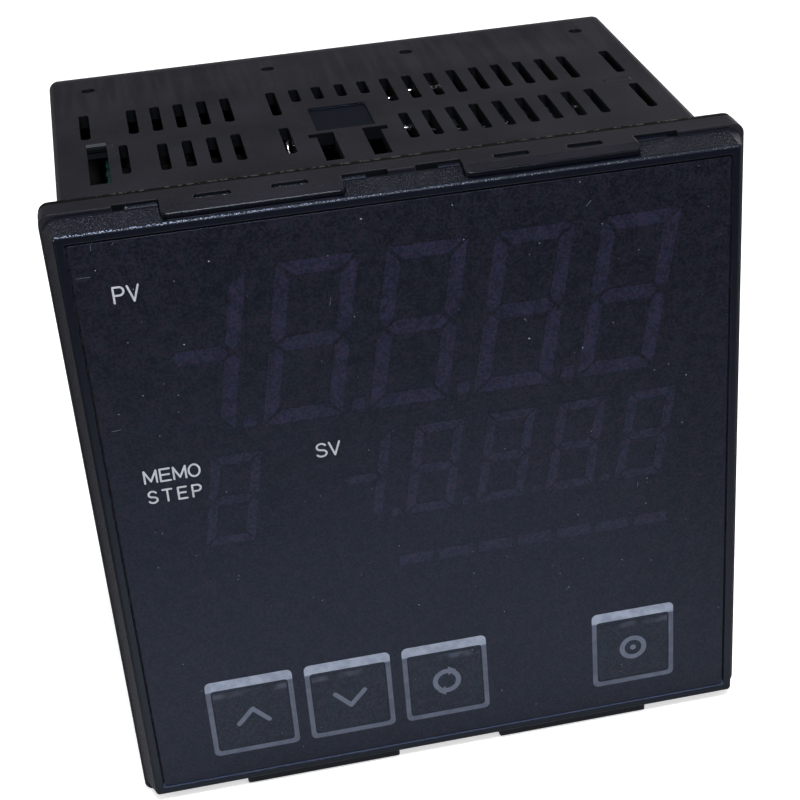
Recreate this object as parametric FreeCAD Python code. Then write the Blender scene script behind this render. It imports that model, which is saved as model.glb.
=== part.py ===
import FreeCAD, Part
import os

# Square panel instrument: a temperature controller for a 92 mm x 92 mm panel cut-out.
# Millimetres. X runs to the right seen from the front, Y into the panel, Z up.
# Origin: centre of the panel cut-out, in the plane where the gasket meets the panel.

Vector = FreeCAD.Vector

# ---------------------------------------------------------------- driving dimensions

# Case behind the panel
case_width = 91.2
case_height = 90.4
case_depth = 60.0
case_wall = 2.0
case_corner = 1.5
case_inner_corner = 0.6
case_rear_wall = 2.0
case_rear_round = 1.0

# Flange in front of the panel, and its rubber gasket
flange_side = 2.3
flange_rise = 2.8
flange_thickness = 3.6
flange_corner = 1.5
gasket_thickness = 1.1
gasket_inset = 0.05
gasket_gap = 0.2

# Tabs that reach forward from the flange over the bezel, two above and two below
tab_inner = 8.1
tab_outer = 32.2
tab_reach = 3.1
tab_thickness = 1.6
tab_nose = 1.1
tab_drop = 0.8
lower_tab_nose = 0.25
lower_tab_drop = 0.2
tab_corner = 0.8
tab_gap = 0.15
tab_under_gap = 0.1

# Snap windows in the tabs, and the bezel's hooks that stand in them
window_inner = 15.0
window_outer = 25.2
window_length = 4.9
window_back = 0.65
window_front = 1.05
window_corner = 0.6
window_floor = 0.5
hook_gap = 0.25
hook_back = 0.5
hook_root = 0.35
hook_height = 1.6
hook_slope = 0.4

# Notches in the joint between flange and bezel, beside and between the tabs
notch_depth = 0.65
notch_height = 1.8
notch_middle = 1.9
notch_end = 38.3
notch_hook_length = 3.1
notch_hook_outer = 4.4
bezel_notch = 0.35

# Bezel
joint_gap = 0.25
bezel_inset = 0.3
bezel_depth = 3.65
bezel_draft = 1.4
bezel_corner = 2.4
bezel_front_corner = 0.55
bezel_edge = 0.25
bezel_plate = 1.6
rim_width = 1.1
recess_depth = 0.4
recess_draft = 0.2
recess_corner = 0.3
skirt_gap = 0.2
skirt_wall = 1.4
skirt_reach = 0.8

# Printed front film
film_thickness = 0.3
film_gap = 0.15

# Keys: three side by side on the left and one on the right, along the lower edge of the front
key_left_margin = 16.2
key_right_margin = 16.2
key_pitch = 15.0
key_low_margin = 11.85
key_opening_width = 11.6
key_opening_height = 11.3
key_opening_corner = 0.5
key_gap = 0.15
key_travel = 0.3
key_rest_gap = 0.15
key_flange_overlap = 0.75
key_flange_thickness = 0.8
key_stem_diameter = 4.6
key_stem_length = 0.6

# Push switches under the keys
switch_width = 6.2
switch_height = 3.4
switch_edge = 0.4
plunger_diameter = 3.4
plunger_gap = 0.15
plunger_over_travel = 0.1
plunger_depth = 1.8
bore_margin = 0.1

# Liquid-crystal display, its window, holder and light guide
glass_left_margin = 6.1
glass_right_margin = 2.9
glass_top_margin = 1.6
glass_above_keys = 14.4
glass_thickness = 2.2
glass_ledge = 1.8
holder_wall = 1.4
holder_gap = 0.1
layer_gap = 0.1
strip_thickness = 2.6
strip_end_gap = 1.5
guide_gap = 0.2
reflector_thickness = 0.4

# Display board and its three screws
display_board_gap = 0.5
board_thickness = 1.6
post_diameter = 4.0
post_bore = 2.0
post_margin = 2.4
post_high_margin = 3.0
post_screw_diameter = 1.9
post_screw_length = 4.6
post_head_diameter = 3.9
post_head_height = 1.3
post_floor = 0.6
clearance_hole = 2.4

# Inner frame and the two side boards
frame_gap = 0.3
frame_ring = 3.2
frame_front = 2.4
frame_thickness = 3.0
board_lead = 0.2
board_wall_gap = 6.8
board_rear_gap = 1.0
board_top_gap = 0.6
arm_thickness = 3.0
arm_width = 12.0
arm_top_margin = 10.6
arm_rear_margin = 4.0
side_screw_front = 11.0
side_screw_rear_margin = 5.0
side_screw_diameter = 2.4
side_screw_gap = 0.1
side_screw_length = 4.0
side_head_diameter = 4.6
side_head_height = 1.4

# Pin headers between the display board and the side boards
header_width = 3.0
header_length = 30.0
header_depth = 8.0
header_pins = 10
pin_pitch = 2.54
pin_size = 0.64
pin_tail = 2.6

# Transformer on the left board
core_width = 24.0
core_height = 28.0
core_stack = 10.0
core_leg = 3.0
core_centre_leg = 8.0
core_yoke = 5.0
core_y = 21.0
core_drop = 15.0
winding_build = 5.0
winding_gap = 0.1

# Round capacitors lying on the boards: side, diameter, length, place along Y, drop from the top edge
round_capacitors = {
    "bulk_capacitor": (1, 16.0, 31.0, 19.0, 8.8),
    "filter_capacitor": (1, 10.0, 24.0, 33.5, 6.0),
}
can_edge = 0.8

# The supply capacitor lies on the left board, near its rear lower corner
supply_diameter = 12.5
supply_length = 20.0
supply_rear_margin = 10.5
supply_rise = 28.6

# Block-shaped parts: side, reach from the board, height, place of the front end along Y,
# margin from the rear end to the board's rear edge, and rise from the board's lower edge
block_parts = {
    "output_relay": (1, 15.8, 12.5, 12.0, 15.0, 41.6),
    "alarm_relay": (1, 15.8, 12.5, 12.0, 15.0, 25.6),
    "line_filter": (-1, 14.0, 13.0, 12.0, 18.0, 30.6),
}

# Film capacitor, high on the right board, and processor, by its rear edge
film_capacitor_reach = 8.6
film_capacitor_height = 5.4
film_capacitor_front = 9.0
film_capacitor_length = 10.0
film_capacitor_drop = 23.1
processor_thickness = 1.4
processor_side = 12.0
processor_rear_margin = 1.5
processor_rise = 40.6
part_edge = 0.5

# Fuse on the left board
fuse_diameter = 5.0
fuse_length = 20.0
fuse_cap_length = 5.0
fuse_cap_wall = 0.2
fuse_y = 28.0
fuse_rise = 1.1
fuse_stand_off = 0.6

# Rear terminal blocks
term_wall_gap = 10.6
term_pitch = 7.62
term_end_wall = 1.4
term_end_room = 0.5
block_width = 17.0
block_gap = 0.2
block_sunk = 3.0
block_depth = 10.0
block_lip = 1.2
block_lip_depth = 2.2
barrier_thickness = 1.2
barrier_reach = 2.6
contact_width = 6.0
contact_thickness = 0.8
contact_reach = 3.2
tail_gap = 0.1
tail_thickness = 0.4
tail_width = 3.0
tail_overlap = 3.0
plate_width = 6.2
plate_height = 5.8
plate_thickness = 0.8
screw_diameter = 3.0
screw_hole = 3.2
screw_depth = 7.0
screw_hole_spare = 0.5
screw_head_diameter = 5.8
screw_head_height = 1.7
screw_head_edge = 0.3
cross_width = 0.8
cross_length = 4.2
cross_depth = 0.9

# Vents, the same above and below: two rows of slots on one pitch, counted from the middle
vent_pitch = 3.54
vent_width = 1.5
vent_corner = 0.6
vent_front_start = 13.5
vent_rear_start = 30.0
vent_length = 11.0
vent_short_start = 35.0
vent_short_columns = [-3, -2, -1, 0]
vent_lone_column = -4
vent_left_first = -6
vent_right_first = 1
vent_side_margin = 4.9
vent_side_space = 1.5
narrow_vent_margin = 10.0
narrow_vent_width = 1.3
narrow_vent_start = 14.0
narrow_vent_end = 26.0
side_window_margin = 4.8
side_window_width = 2.9
side_window_start = 11.3
side_window_end = 27.0
side_window_lip = 0.8
side_window_lip_drop = 1.0

# Seat for the mounting bracket, the same above and below
bracket_x = -3.54
bracket_width = 8.7
bracket_start = 21.2
bracket_end = 31.5
bracket_depth = 0.3
bracket_slot_start = 8.8
bracket_slot_end = 20.3
bracket_slot_width = 2.6
bracket_slot_pitch = 6.8
bracket_ear = 1.1
bracket_ear_length = 1.7

# Ejector marks near the rear edge
dimple_side_margin = 6.1
dimple_inner = 11.2
dimple_rear_margin = 7.5
dimple_diameter = 2.2
dimple_depth = 0.3

# How far a cutting block stands clear of the face it cuts
over = 1.0

# ---------------------------------------------------------------- places that follow

flange_width = case_width + 2 * flange_side
flange_height = case_height + 2 * flange_rise
flange_front = -gasket_thickness - flange_thickness
bezel_back = flange_front - joint_gap
bezel_front = bezel_back - bezel_depth
recess_floor = bezel_front + recess_depth
plate_back = recess_floor + bezel_plate
film_front = recess_floor - film_thickness
bezel_width = flange_width - 2 * bezel_inset
bezel_height = flange_height - 2 * bezel_inset
front_width = bezel_width - 2 * bezel_draft
front_height = bezel_height - 2 * bezel_draft
inner_width = case_width - 2 * case_wall
inner_height = case_height - 2 * case_wall
skirt_width = inner_width - 2 * skirt_gap
skirt_height = inner_height - 2 * skirt_gap
hollow_width = skirt_width - 2 * skirt_wall
hollow_height = skirt_height - 2 * skirt_wall
rear_face = case_depth - case_rear_wall

tab_top = flange_height / 2
tab_under = tab_top - tab_thickness
tab_front = flange_front - tab_reach
window_y_back = flange_front + window_back
window_y_front = flange_front - window_front

key_first = -front_width / 2 + key_left_margin
key_places = {
    "up": key_first,
    "down": key_first + key_pitch,
    "mode": key_first + 2 * key_pitch,
    "out_off": front_width / 2 - key_right_margin,
}
key_z = -front_height / 2 + key_low_margin
key_flange_front = plate_back + key_rest_gap
key_flange_back = key_flange_front + key_flange_thickness
key_stem_back = key_flange_back + key_stem_length
switch_front = key_stem_back + key_travel + bore_margin + plunger_over_travel
board_front = switch_front + switch_height
board_back = board_front + board_thickness

glass_left = -hollow_width / 2 + glass_left_margin
glass_right = hollow_width / 2 - glass_right_margin
glass_low = key_z + key_opening_height / 2 + glass_above_keys
glass_high = hollow_height / 2 - glass_top_margin
glass_width = glass_right - glass_left
glass_height = glass_high - glass_low
display_x = (glass_left + glass_right) / 2
display_z = (glass_low + glass_high) / 2
glass_front = plate_back + layer_gap
glass_back = glass_front + glass_thickness
light_back = board_front - layer_gap

frame_y0 = board_back + frame_front
frame_y1 = frame_y0 + frame_thickness
block_floor = case_depth - block_sunk
block_front = block_floor - block_depth
board_face = inner_width / 2 - board_wall_gap
board_outer = board_face + board_thickness
board_start = frame_y1 + board_lead
board_end = block_front - board_rear_gap
board_half = inner_height / 2 - board_top_gap
arm_high = board_half - arm_top_margin
arm_low = arm_high - arm_width
arm_end = board_end - arm_rear_margin
fuse_z = -board_half + fuse_rise

term_x = inner_width / 2 - term_wall_gap
term_room = inner_height - 2 * (term_end_wall + block_lip + term_end_room)
term_count = int(term_room / term_pitch)
block_height = term_count * term_pitch + 2 * term_end_wall
barrier_end = block_floor + barrier_reach
contact_front = block_floor - contact_thickness
tail_front = board_end - tail_overlap
clamp_back = block_floor + plate_thickness

vent_side_x = case_width / 2 - vent_side_margin
narrow_vent_x = -case_width / 2 + narrow_vent_margin
side_window_left = -case_width / 2 + side_window_margin
side_window_right = side_window_left + side_window_width
dimple_y = case_depth - dimple_rear_margin


# ---------------------------------------------------------------- shapes used by several pieces

def block(x0, x1, y0, y1, z0, z1):
    return Part.makeBox(x1 - x0, y1 - y0, z1 - z0, Vector(x0, y0, z0))


def outline(width, height, radius, place):
    """Closed rounded rectangle about the origin; place turns its two coordinates into a point."""
    a = width / 2
    b = height / 2
    k = radius * (1 - 0.5 ** 0.5)
    corners = [(1, 1), (-1, 1), (-1, -1), (1, -1)]
    edges = []
    for n, (su, sv) in enumerate(corners):
        along_u = place(su * (a - radius), sv * b)
        middle = place(su * (a - k), sv * (b - k))
        along_v = place(su * a, sv * (b - radius))
        first, last = (along_v, along_u) if n % 2 == 0 else (along_u, along_v)
        edges.append((first, middle, last))
    loop = []
    for n, (first, middle, last) in enumerate(edges):
        loop.append(Part.Arc(first, middle, last).toShape())
        loop.append(Part.LineSegment(last, edges[(n + 1) % 4][0]).toShape())
    return Part.Wire(loop)


def rounded_block(width, height, radius, y0, y1, x=0.0, z=0.0):
    """Rounded rectangle in the XZ plane, extruded from y0 to y1."""
    wire = outline(width, height, radius, lambda u, v: Vector(x + u, y0, z + v))
    return Part.Face(wire).extrude(Vector(0, y1 - y0, 0))


def upright_slot(x0, x1, y0, y1, z0, z1, radius):
    """Rounded rectangle in the XY plane, extruded from z0 to z1."""
    mid_x = (x0 + x1) / 2
    mid_y = (y0 + y1) / 2
    wire = outline(x1 - x0, y1 - y0, radius, lambda u, v: Vector(mid_x + u, mid_y + v, z0))
    return Part.Face(wire).extrude(Vector(0, 0, z1 - z0))


def rounded_taper(sections):
    """Solid through rounded rectangles, each given as (width, height, radius, y)."""
    wires = []
    for width, height, radius, y in sections:
        wires.append(outline(width, height, radius, lambda u, v, y=y: Vector(u, y, v)))
    return Part.makeLoft(wires, True, True)


def profile_along_x(points, x0, x1):
    """Polygon of (y, z) points, extruded from x0 to x1."""
    corners = [Vector(x0, y, z) for y, z in points]
    wire = Part.makePolygon(corners + corners[:1])
    return Part.Face(wire).extrude(Vector(x1 - x0, 0, 0))


def rod(diameter, start, end):
    direction = end - start
    return Part.makeCylinder(diameter / 2, direction.Length, start, direction)


def above_and_below(shapes):
    """The given shapes and their mirror images in the horizontal middle plane."""
    return shapes + [s.mirror(Vector(0, 0, 0), Vector(0, 0, 1)) for s in shapes]


def left_and_right(shapes):
    """The given shapes and their mirror images in the upright middle plane."""
    return shapes + [s.mirror(Vector(0, 0, 0), Vector(1, 0, 0)) for s in shapes]


def on_board(shape, side):
    """Shapes are drawn on the right board; the left board takes the mirror image."""
    return shape if side > 0 else shape.mirror(Vector(0, 0, 0), Vector(1, 0, 0))


def export(name, shape):
    if not shape.isValid():
        raise ValueError(name + " is not a valid shape")
    shape.exportStep("parts/" + name + ".step")
    print(name, "solids", len(shape.Solids), "volume", round(shape.Volume, 2))


# ---------------------------------------------------------------- outer case

def forward_tab(nose, drop):
    """One tab right of the middle, above: flat, with a sloping nose and rounded front corners."""
    points = [
        (flange_front, tab_under),
        (flange_front, tab_top),
        (tab_front + nose, tab_top),
        (tab_front, tab_top - drop),
        (tab_front, tab_under),
    ]
    side = profile_along_x(points, tab_inner, tab_outer)
    plan = upright_slot(tab_inner, tab_outer, tab_front, flange_front + over,
                        tab_under, tab_top, tab_corner)
    return side.common(plan)


def snap_windows():
    """Windows through the tabs, right half, above."""
    cuts = []
    for x in (window_inner, window_outer):
        cuts.append(upright_slot(x - window_length / 2, x + window_length / 2,
                                 window_y_front, window_y_back,
                                 tab_under - window_floor, tab_top + over, window_corner))
    return cuts


def notch_spans():
    """Stretches of the joint, right half, that open into a wider notch."""
    return [(notch_middle, tab_inner), (tab_outer, notch_end)]


def flange_notches():
    top = flange_height / 2
    return [block(x0, x1, flange_front - over, flange_front + notch_depth,
                  top - notch_height, top + over) for x0, x1 in notch_spans()]


def vent_x(column):
    return (column + 0.5) * vent_pitch


def vent_run(first, step, limit):
    """Columns from the first one outwards, as far as the limit leaves room."""
    columns = [first]
    while abs(vent_x(columns[-1] + step)) <= limit:
        columns.append(columns[-1] + step)
    return columns


def vent_cuts():
    """Vents, side window, bracket seat and ejector marks of the top wall."""
    top = case_height / 2
    floor = top - case_wall - over
    roof = top + over
    cuts = []

    def vent(x, start, end):
        cuts.append(upright_slot(x - vent_width / 2, x + vent_width / 2, start, end,
                                 floor, roof, vent_corner))

    limit = vent_side_x - vent_side_space * vent_pitch
    right_run = vent_run(vent_right_first, 1, limit)
    front_columns = vent_run(vent_left_first, -1, -narrow_vent_x - vent_pitch)
    front_columns += [vent_lone_column] + right_run
    rear_columns = vent_run(vent_left_first, -1, limit) + [vent_lone_column] + right_run
    for x in [vent_x(column) for column in front_columns] + [vent_side_x]:
        vent(x, vent_front_start, vent_front_start + vent_length)
    for x in [vent_x(column) for column in rear_columns] + [-vent_side_x, vent_side_x]:
        vent(x, vent_rear_start, vent_rear_start + vent_length)
    for column in vent_short_columns:
        vent(vent_x(column), vent_short_start, vent_rear_start + vent_length)
    cuts.append(upright_slot(narrow_vent_x - narrow_vent_width / 2,
                             narrow_vent_x + narrow_vent_width / 2,
                             narrow_vent_start, narrow_vent_end, floor, roof, vent_corner))
    cuts.append(block(side_window_left, side_window_right,
                      side_window_start, side_window_end, floor, roof))
    lip = [
        (side_window_end, top - side_window_lip_drop),
        (side_window_end + side_window_lip, top),
        (side_window_end, top + over),
    ]
    cuts.append(profile_along_x(lip, side_window_left, side_window_right))
    cuts.append(block(bracket_x - bracket_width / 2, bracket_x + bracket_width / 2,
                      bracket_start, bracket_end, top - bracket_depth, roof))
    for side in (-1, 1):
        middle = bracket_x + side * bracket_slot_pitch / 2
        inner = middle - side * bracket_slot_width / 2
        outer = middle + side * bracket_slot_width / 2
        ear = outer + side * bracket_ear
        cuts.append(block(min(inner, outer), max(inner, outer),
                          bracket_slot_start, bracket_slot_end, floor, roof))
        cuts.append(block(min(inner, ear), max(inner, ear),
                          bracket_slot_end - bracket_ear_length, bracket_slot_end, floor, roof))
    dimple_outer = case_width / 2 - dimple_side_margin
    for x in (-dimple_outer, -dimple_inner, dimple_inner, dimple_outer):
        cuts.append(rod(dimple_diameter, Vector(x, dimple_y, top - dimple_depth),
                        Vector(x, dimple_y, roof)))
    return cuts


def terminal_opening():
    return block(term_x - block_width / 2 - block_gap, term_x + block_width / 2 + block_gap,
                 rear_face - over, case_depth + over,
                 -block_height / 2 - block_gap, block_height / 2 + block_gap)


def outer_case():
    tube = rounded_block(case_width, case_height, case_corner, flange_front, case_depth)
    rear_edges = [e for e in tube.Edges if all(abs(v.Y - case_depth) < 1e-6 for v in e.Vertexes)]
    tube = tube.makeFillet(case_rear_round, rear_edges)
    flange = rounded_block(flange_width, flange_height, flange_corner,
                           flange_front, -gasket_thickness)
    upper_tab = forward_tab(tab_nose, tab_drop)
    lower_tab = above_and_below([forward_tab(lower_tab_nose, lower_tab_drop)])[1]
    body = tube.fuse([flange] + left_and_right([upper_tab, lower_tab]))
    cavity = rounded_block(inner_width, inner_height, case_inner_corner, flange_front - over, rear_face)
    cuts = [cavity]
    cuts += above_and_below(left_and_right(snap_windows() + flange_notches()))
    cuts += above_and_below(vent_cuts())
    cuts += left_and_right([terminal_opening()])
    return body.cut(cuts).removeSplitter()


def panel_gasket():
    outer = rounded_block(flange_width - 2 * gasket_inset, flange_height - 2 * gasket_inset,
                          flange_corner, -gasket_thickness, 0)
    inner = rounded_block(case_width + 2 * gasket_gap, case_height + 2 * gasket_gap,
                          case_corner, -gasket_thickness - over, over)
    return outer.cut(inner)


# ---------------------------------------------------------------- front bezel and film

def snap_hook(x0, x1):
    """A hook on the bezel's upper rear edge, sloping down towards the rear."""
    root = tab_under - tab_under_gap
    front = bezel_back - hook_root
    back = flange_front + hook_back
    points = [
        (front, root),
        (front, root + hook_height - hook_slope),
        (front + hook_slope, root + hook_height),
        (back, root + hook_height - hook_slope),
        (back, root),
    ]
    return profile_along_x(points, x0, x1)


def snap_hooks():
    """Hooks of the right half, above."""
    hooks = []
    for x in (window_inner, window_outer):
        reach = window_length / 2 - hook_gap
        hooks.append(snap_hook(x - reach, x + reach))
    hooks.append(snap_hook(tab_inner - tab_gap - notch_hook_length, tab_inner - tab_gap))
    hooks.append(snap_hook(tab_outer + tab_gap, tab_outer + tab_gap + notch_hook_outer))
    return hooks


def tab_pocket():
    """Room in the bezel for one tab, right half, above."""
    return upright_slot(tab_inner - tab_gap, tab_outer + tab_gap,
                        tab_front - tab_gap, bezel_back + 2 * over,
                        tab_under - tab_under_gap, flange_height / 2 + over, tab_corner)


def bezel_notches():
    root = tab_under - tab_under_gap
    return [block(x0, x1, bezel_back - bezel_notch, bezel_back + over,
                  root, flange_height / 2 + over) for x0, x1 in notch_spans()]


def key_openings(y0, y1):
    return [rounded_block(key_opening_width, key_opening_height, key_opening_corner,
                          y0, y1, x, key_z) for x in key_places.values()]


def post_places():
    side = hollow_width / 2 - post_margin
    low = -hollow_height / 2 + post_margin
    high = hollow_height / 2 - post_high_margin
    return [(-side, low), (side, low), (-side, high)]


def front_bezel():
    slope = bezel_draft / bezel_depth
    body = rounded_taper([
        (bezel_width, bezel_height, bezel_corner, bezel_back),
        (front_width + 2 * slope * bezel_edge, front_height + 2 * slope * bezel_edge,
         bezel_front_corner, bezel_front + bezel_edge),
        (front_width - 2 * bezel_edge, front_height - 2 * bezel_edge,
         bezel_front_corner - bezel_edge, bezel_front),
    ])
    recess_width = front_width - 2 * rim_width
    recess_height = front_height - 2 * rim_width
    grow = 2 * recess_draft * (recess_depth + over) / recess_depth
    recess = rounded_taper([
        (recess_width - 2 * recess_draft, recess_height - 2 * recess_draft,
         recess_corner, recess_floor),
        (recess_width - 2 * recess_draft + grow, recess_height - 2 * recess_draft + grow,
         recess_corner + recess_draft, bezel_front - over),
    ])
    skirt = rounded_block(skirt_width, skirt_height, case_inner_corner, bezel_back, skirt_reach)
    hollow = rounded_block(hollow_width, hollow_height, case_inner_corner,
                           plate_back, skirt_reach + over)
    window = rounded_block(glass_width - 2 * glass_ledge, glass_height - 2 * glass_ledge,
                           case_inner_corner, recess_floor - over, plate_back + over,
                           display_x, display_z)
    pockets = above_and_below(left_and_right([tab_pocket()] + bezel_notches()))
    body = body.fuse(skirt).cut([recess, hollow, window] + pockets
                                + key_openings(recess_floor - over, plate_back + over))
    body = body.fuse(above_and_below(left_and_right(snap_hooks())))
    posts = [rod(post_diameter, Vector(x, plate_back, z), Vector(x, board_front, z))
             for x, z in post_places()]
    bores = [rod(post_bore, Vector(x, plate_back + post_floor, z), Vector(x, board_front + over, z))
             for x, z in post_places()]
    return body.fuse(posts).cut(bores).removeSplitter()


def front_overlay():
    width = bezel_width - 2 * (bezel_draft + rim_width + recess_draft + film_gap)
    height = bezel_height - 2 * (bezel_draft + rim_width + recess_draft + film_gap)
    sheet = rounded_block(width, height, recess_corner, film_front, recess_floor)
    return sheet.cut(key_openings(film_front - over, recess_floor + over))


# ---------------------------------------------------------------- keys and their switches

def key(x):
    cap = rounded_block(key_opening_width - 2 * key_gap, key_opening_height - 2 * key_gap,
                        key_opening_corner - key_gap / 2, film_front, key_flange_front,
                        x, key_z)
    flange = rounded_block(key_opening_width + 2 * key_flange_overlap,
                           key_opening_height + 2 * key_flange_overlap,
                           key_opening_corner, key_flange_front, key_flange_back,
                           x, key_z)
    stem = rod(key_stem_diameter, Vector(x, key_flange_back, key_z),
               Vector(x, key_stem_back, key_z))
    return cap.fuse([flange, stem]).removeSplitter()


def switch_plunger(x):
    return rod(plunger_diameter, Vector(x, key_stem_back, key_z),
               Vector(x, switch_front + plunger_depth, key_z))


def tact_switch(x):
    half = switch_width / 2
    z = key_z
    body = block(x - half, x + half, switch_front, board_front, z - half, z + half)
    front = [e for e in body.Edges if all(abs(v.Y - switch_front) < 1e-6 for v in e.Vertexes)]
    body = body.makeChamfer(switch_edge, front)
    depth = plunger_depth + key_travel + plunger_over_travel
    bore = rod(plunger_diameter + 2 * plunger_gap, Vector(x, switch_front - over, z),
               Vector(x, switch_front + depth, z))
    return body.cut(bore)


# ---------------------------------------------------------------- display

def lcd_glass():
    return block(display_x - glass_width / 2, display_x + glass_width / 2, glass_front, glass_back,
                 display_z - glass_height / 2, display_z + glass_height / 2)


def lcd_holder():
    half_x = glass_width / 2 + holder_gap
    half_z = glass_height / 2 + holder_gap
    outer = block(display_x - half_x - holder_wall, display_x + half_x + holder_wall,
                  glass_front, light_back,
                  display_z - half_z - holder_wall, display_z + half_z + holder_wall)
    inner = block(display_x - half_x, display_x + half_x, glass_front - over, light_back + over,
                  display_z - half_z, display_z + half_z)
    return outer.cut(inner)


def elastomer_strip(side):
    edge = display_z + side * glass_height / 2
    inner = edge - side * strip_thickness
    half = glass_width / 2 - strip_end_gap
    return block(display_x - half, display_x + half, glass_back, board_front,
                 min(edge, inner), max(edge, inner))


def light_layer(y0, y1):
    half_x = glass_width / 2 - guide_gap
    half_z = glass_height / 2 - strip_thickness - guide_gap
    return block(display_x - half_x, display_x + half_x, y0, y1,
                 display_z - half_z, display_z + half_z)


def light_guide():
    return light_layer(glass_back + layer_gap, light_back - reflector_thickness)


def reflector_sheet():
    return light_layer(light_back - reflector_thickness, light_back)


def display_board():
    board = rounded_block(hollow_width - 2 * display_board_gap, hollow_height - 2 * display_board_gap,
                          case_inner_corner, board_front, board_back)
    return board.cut([rod(clearance_hole, Vector(x, board_front - over, z),
                          Vector(x, board_back + over, z)) for x, z in post_places()])


def display_board_screws():
    screws = []
    for x, z in post_places():
        shank = rod(post_screw_diameter, Vector(x, board_back - post_screw_length, z),
                    Vector(x, board_back, z))
        head = rod(post_head_diameter, Vector(x, board_back, z),
                   Vector(x, board_back + post_head_height, z))
        arm = post_head_diameter / 2
        slot = block(x - arm, x + arm, board_back + post_head_height / 2,
                     board_back + post_head_height + over, z - cross_width / 2, z + cross_width / 2)
        screws.append(shank.fuse(head).cut(slot))
    return Part.makeCompound(screws)


# ---------------------------------------------------------------- inner frame and side boards

def side_screw_points():
    """Screws of the right board: (y, z) places on the arms."""
    arm_z = (arm_low + arm_high) / 2
    rear = arm_end - side_screw_rear_margin
    return [(y, side * arm_z) for y in (side_screw_front, rear) for side in (-1, 1)]


def inner_frame():
    outer = rounded_block(inner_width - 2 * frame_gap, inner_height - 2 * frame_gap,
                          case_inner_corner, frame_y0, frame_y1)
    inner = rounded_block(inner_width - 2 * frame_gap - 2 * frame_ring,
                          inner_height - 2 * frame_gap - 2 * frame_ring,
                          case_inner_corner, frame_y0 - over, frame_y1 + over)
    arm = block(board_outer, board_outer + arm_thickness, frame_y0, arm_end, arm_low, arm_high)
    ring = outer.cut(inner).fuse(above_and_below(left_and_right([arm])))
    bores = [rod(side_screw_diameter + 2 * side_screw_gap, Vector(board_outer - over, y, z),
                 Vector(board_outer + arm_thickness + over, y, z)) for y, z in side_screw_points()]
    return ring.cut(left_and_right(bores)).removeSplitter()


def side_board(side):
    board = block(board_face, board_outer, board_start, board_end, -board_half, board_half)
    holes = [rod(side_screw_diameter + 2 * side_screw_gap, Vector(board_face - over, y, z),
                 Vector(board_outer + over, y, z)) for y, z in side_screw_points()]
    return on_board(board.cut(holes), side)


def side_board_screws():
    screws = []
    for y, z in side_screw_points():
        head = rod(side_head_diameter, Vector(board_face - side_head_height, y, z),
                   Vector(board_face, y, z))
        shank = rod(side_screw_diameter, Vector(board_face, y, z),
                    Vector(board_face + side_screw_length, y, z))
        screws.append(head.fuse(shank))
    return Part.makeCompound(left_and_right(screws))


def display_header(side):
    housing = block(board_face - header_width, board_face, board_back, board_back + header_depth,
                    -header_length / 2, header_length / 2)
    return on_board(housing.cut(header_pin_row()), side)


def header_pin_row():
    """Square pins from the display board back through the header."""
    x = board_face - header_width / 2
    half = pin_size / 2
    pins = []
    for n in range(header_pins):
        z = (n - (header_pins - 1) / 2) * pin_pitch
        pins.append(block(x - half, x + half, board_back,
                          board_back + header_depth + pin_tail, z - half, z + half))
    return pins


def header_pin_set(side):
    return Part.makeCompound([on_board(pin, side) for pin in header_pin_row()])


# ---------------------------------------------------------------- parts on the boards

def core_window():
    return (core_width - 2 * core_leg - core_centre_leg) / 2


def transformer_core():
    core_z = board_half - core_drop
    core = block(board_face - core_width, board_face, core_y - core_stack / 2,
                 core_y + core_stack / 2, core_z - core_height / 2, core_z + core_height / 2)
    half = core_height / 2 - core_yoke
    cuts = []
    for x0 in (board_face - core_leg - core_window(), board_face - core_width + core_leg):
        cuts.append(block(x0, x0 + core_window(), core_y - core_stack, core_y + core_stack,
                          core_z - half, core_z + half))
    return on_board(core.cut(cuts), -1)


def transformer_winding():
    core_z = board_half - core_drop
    mid = board_face - core_width / 2
    leg_x = core_centre_leg / 2 + winding_gap
    leg_y = core_stack / 2 + winding_gap
    out_x = core_centre_leg / 2 + core_window() - winding_gap
    half = core_height / 2 - core_yoke - winding_gap
    outer = block(mid - out_x, mid + out_x, core_y - leg_y - winding_build,
                  core_y + leg_y + winding_build, core_z - half, core_z + half)
    inner = block(mid - leg_x, mid + leg_x, core_y - leg_y, core_y + leg_y,
                  core_z - half - over, core_z + half + over)
    edges = [e for e in outer.Edges if abs(e.Vertexes[0].Z - e.Vertexes[1].Z) > half]
    return on_board(outer.makeFillet(can_edge, edges).cut(inner), -1)


def round_capacitor(side, diameter, length, y, z):
    can = rod(diameter, Vector(board_face - length, y, z), Vector(board_face, y, z))
    return on_board(can.makeFillet(can_edge, can.Edges[0:1] + can.Edges[2:3]), side)


def block_part(side, reach, height, front, rear, z):
    body = block(board_face - reach, board_face, front, rear, z - height / 2, z + height / 2)
    far = [e for e in body.Edges if all(abs(v.X - board_face + reach) < 1e-6 for v in e.Vertexes)]
    return on_board(body.makeChamfer(part_edge, far), side)


def fuse_axis(z):
    return Vector(-board_face + fuse_stand_off + fuse_diameter / 2, fuse_y, z)


def fuse_tube():
    spare = fuse_diameter - 2 * fuse_cap_wall
    return rod(spare, fuse_axis(fuse_z), fuse_axis(fuse_z + fuse_length))


def fuse_caps():
    caps = []
    for low in (fuse_z, fuse_z + fuse_length - fuse_cap_length):
        sleeve = rod(fuse_diameter, fuse_axis(low), fuse_axis(low + fuse_cap_length))
        foot = block(-board_face, -board_face + fuse_stand_off + fuse_diameter / 2,
                     fuse_y - fuse_cap_wall, fuse_y + fuse_cap_wall,
                     low + fuse_cap_length / 4, low + fuse_cap_length * 3 / 4)
        caps.append(sleeve.fuse(foot).cut(fuse_tube()))
    return Part.makeCompound(caps)


# ---------------------------------------------------------------- rear terminals

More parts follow.
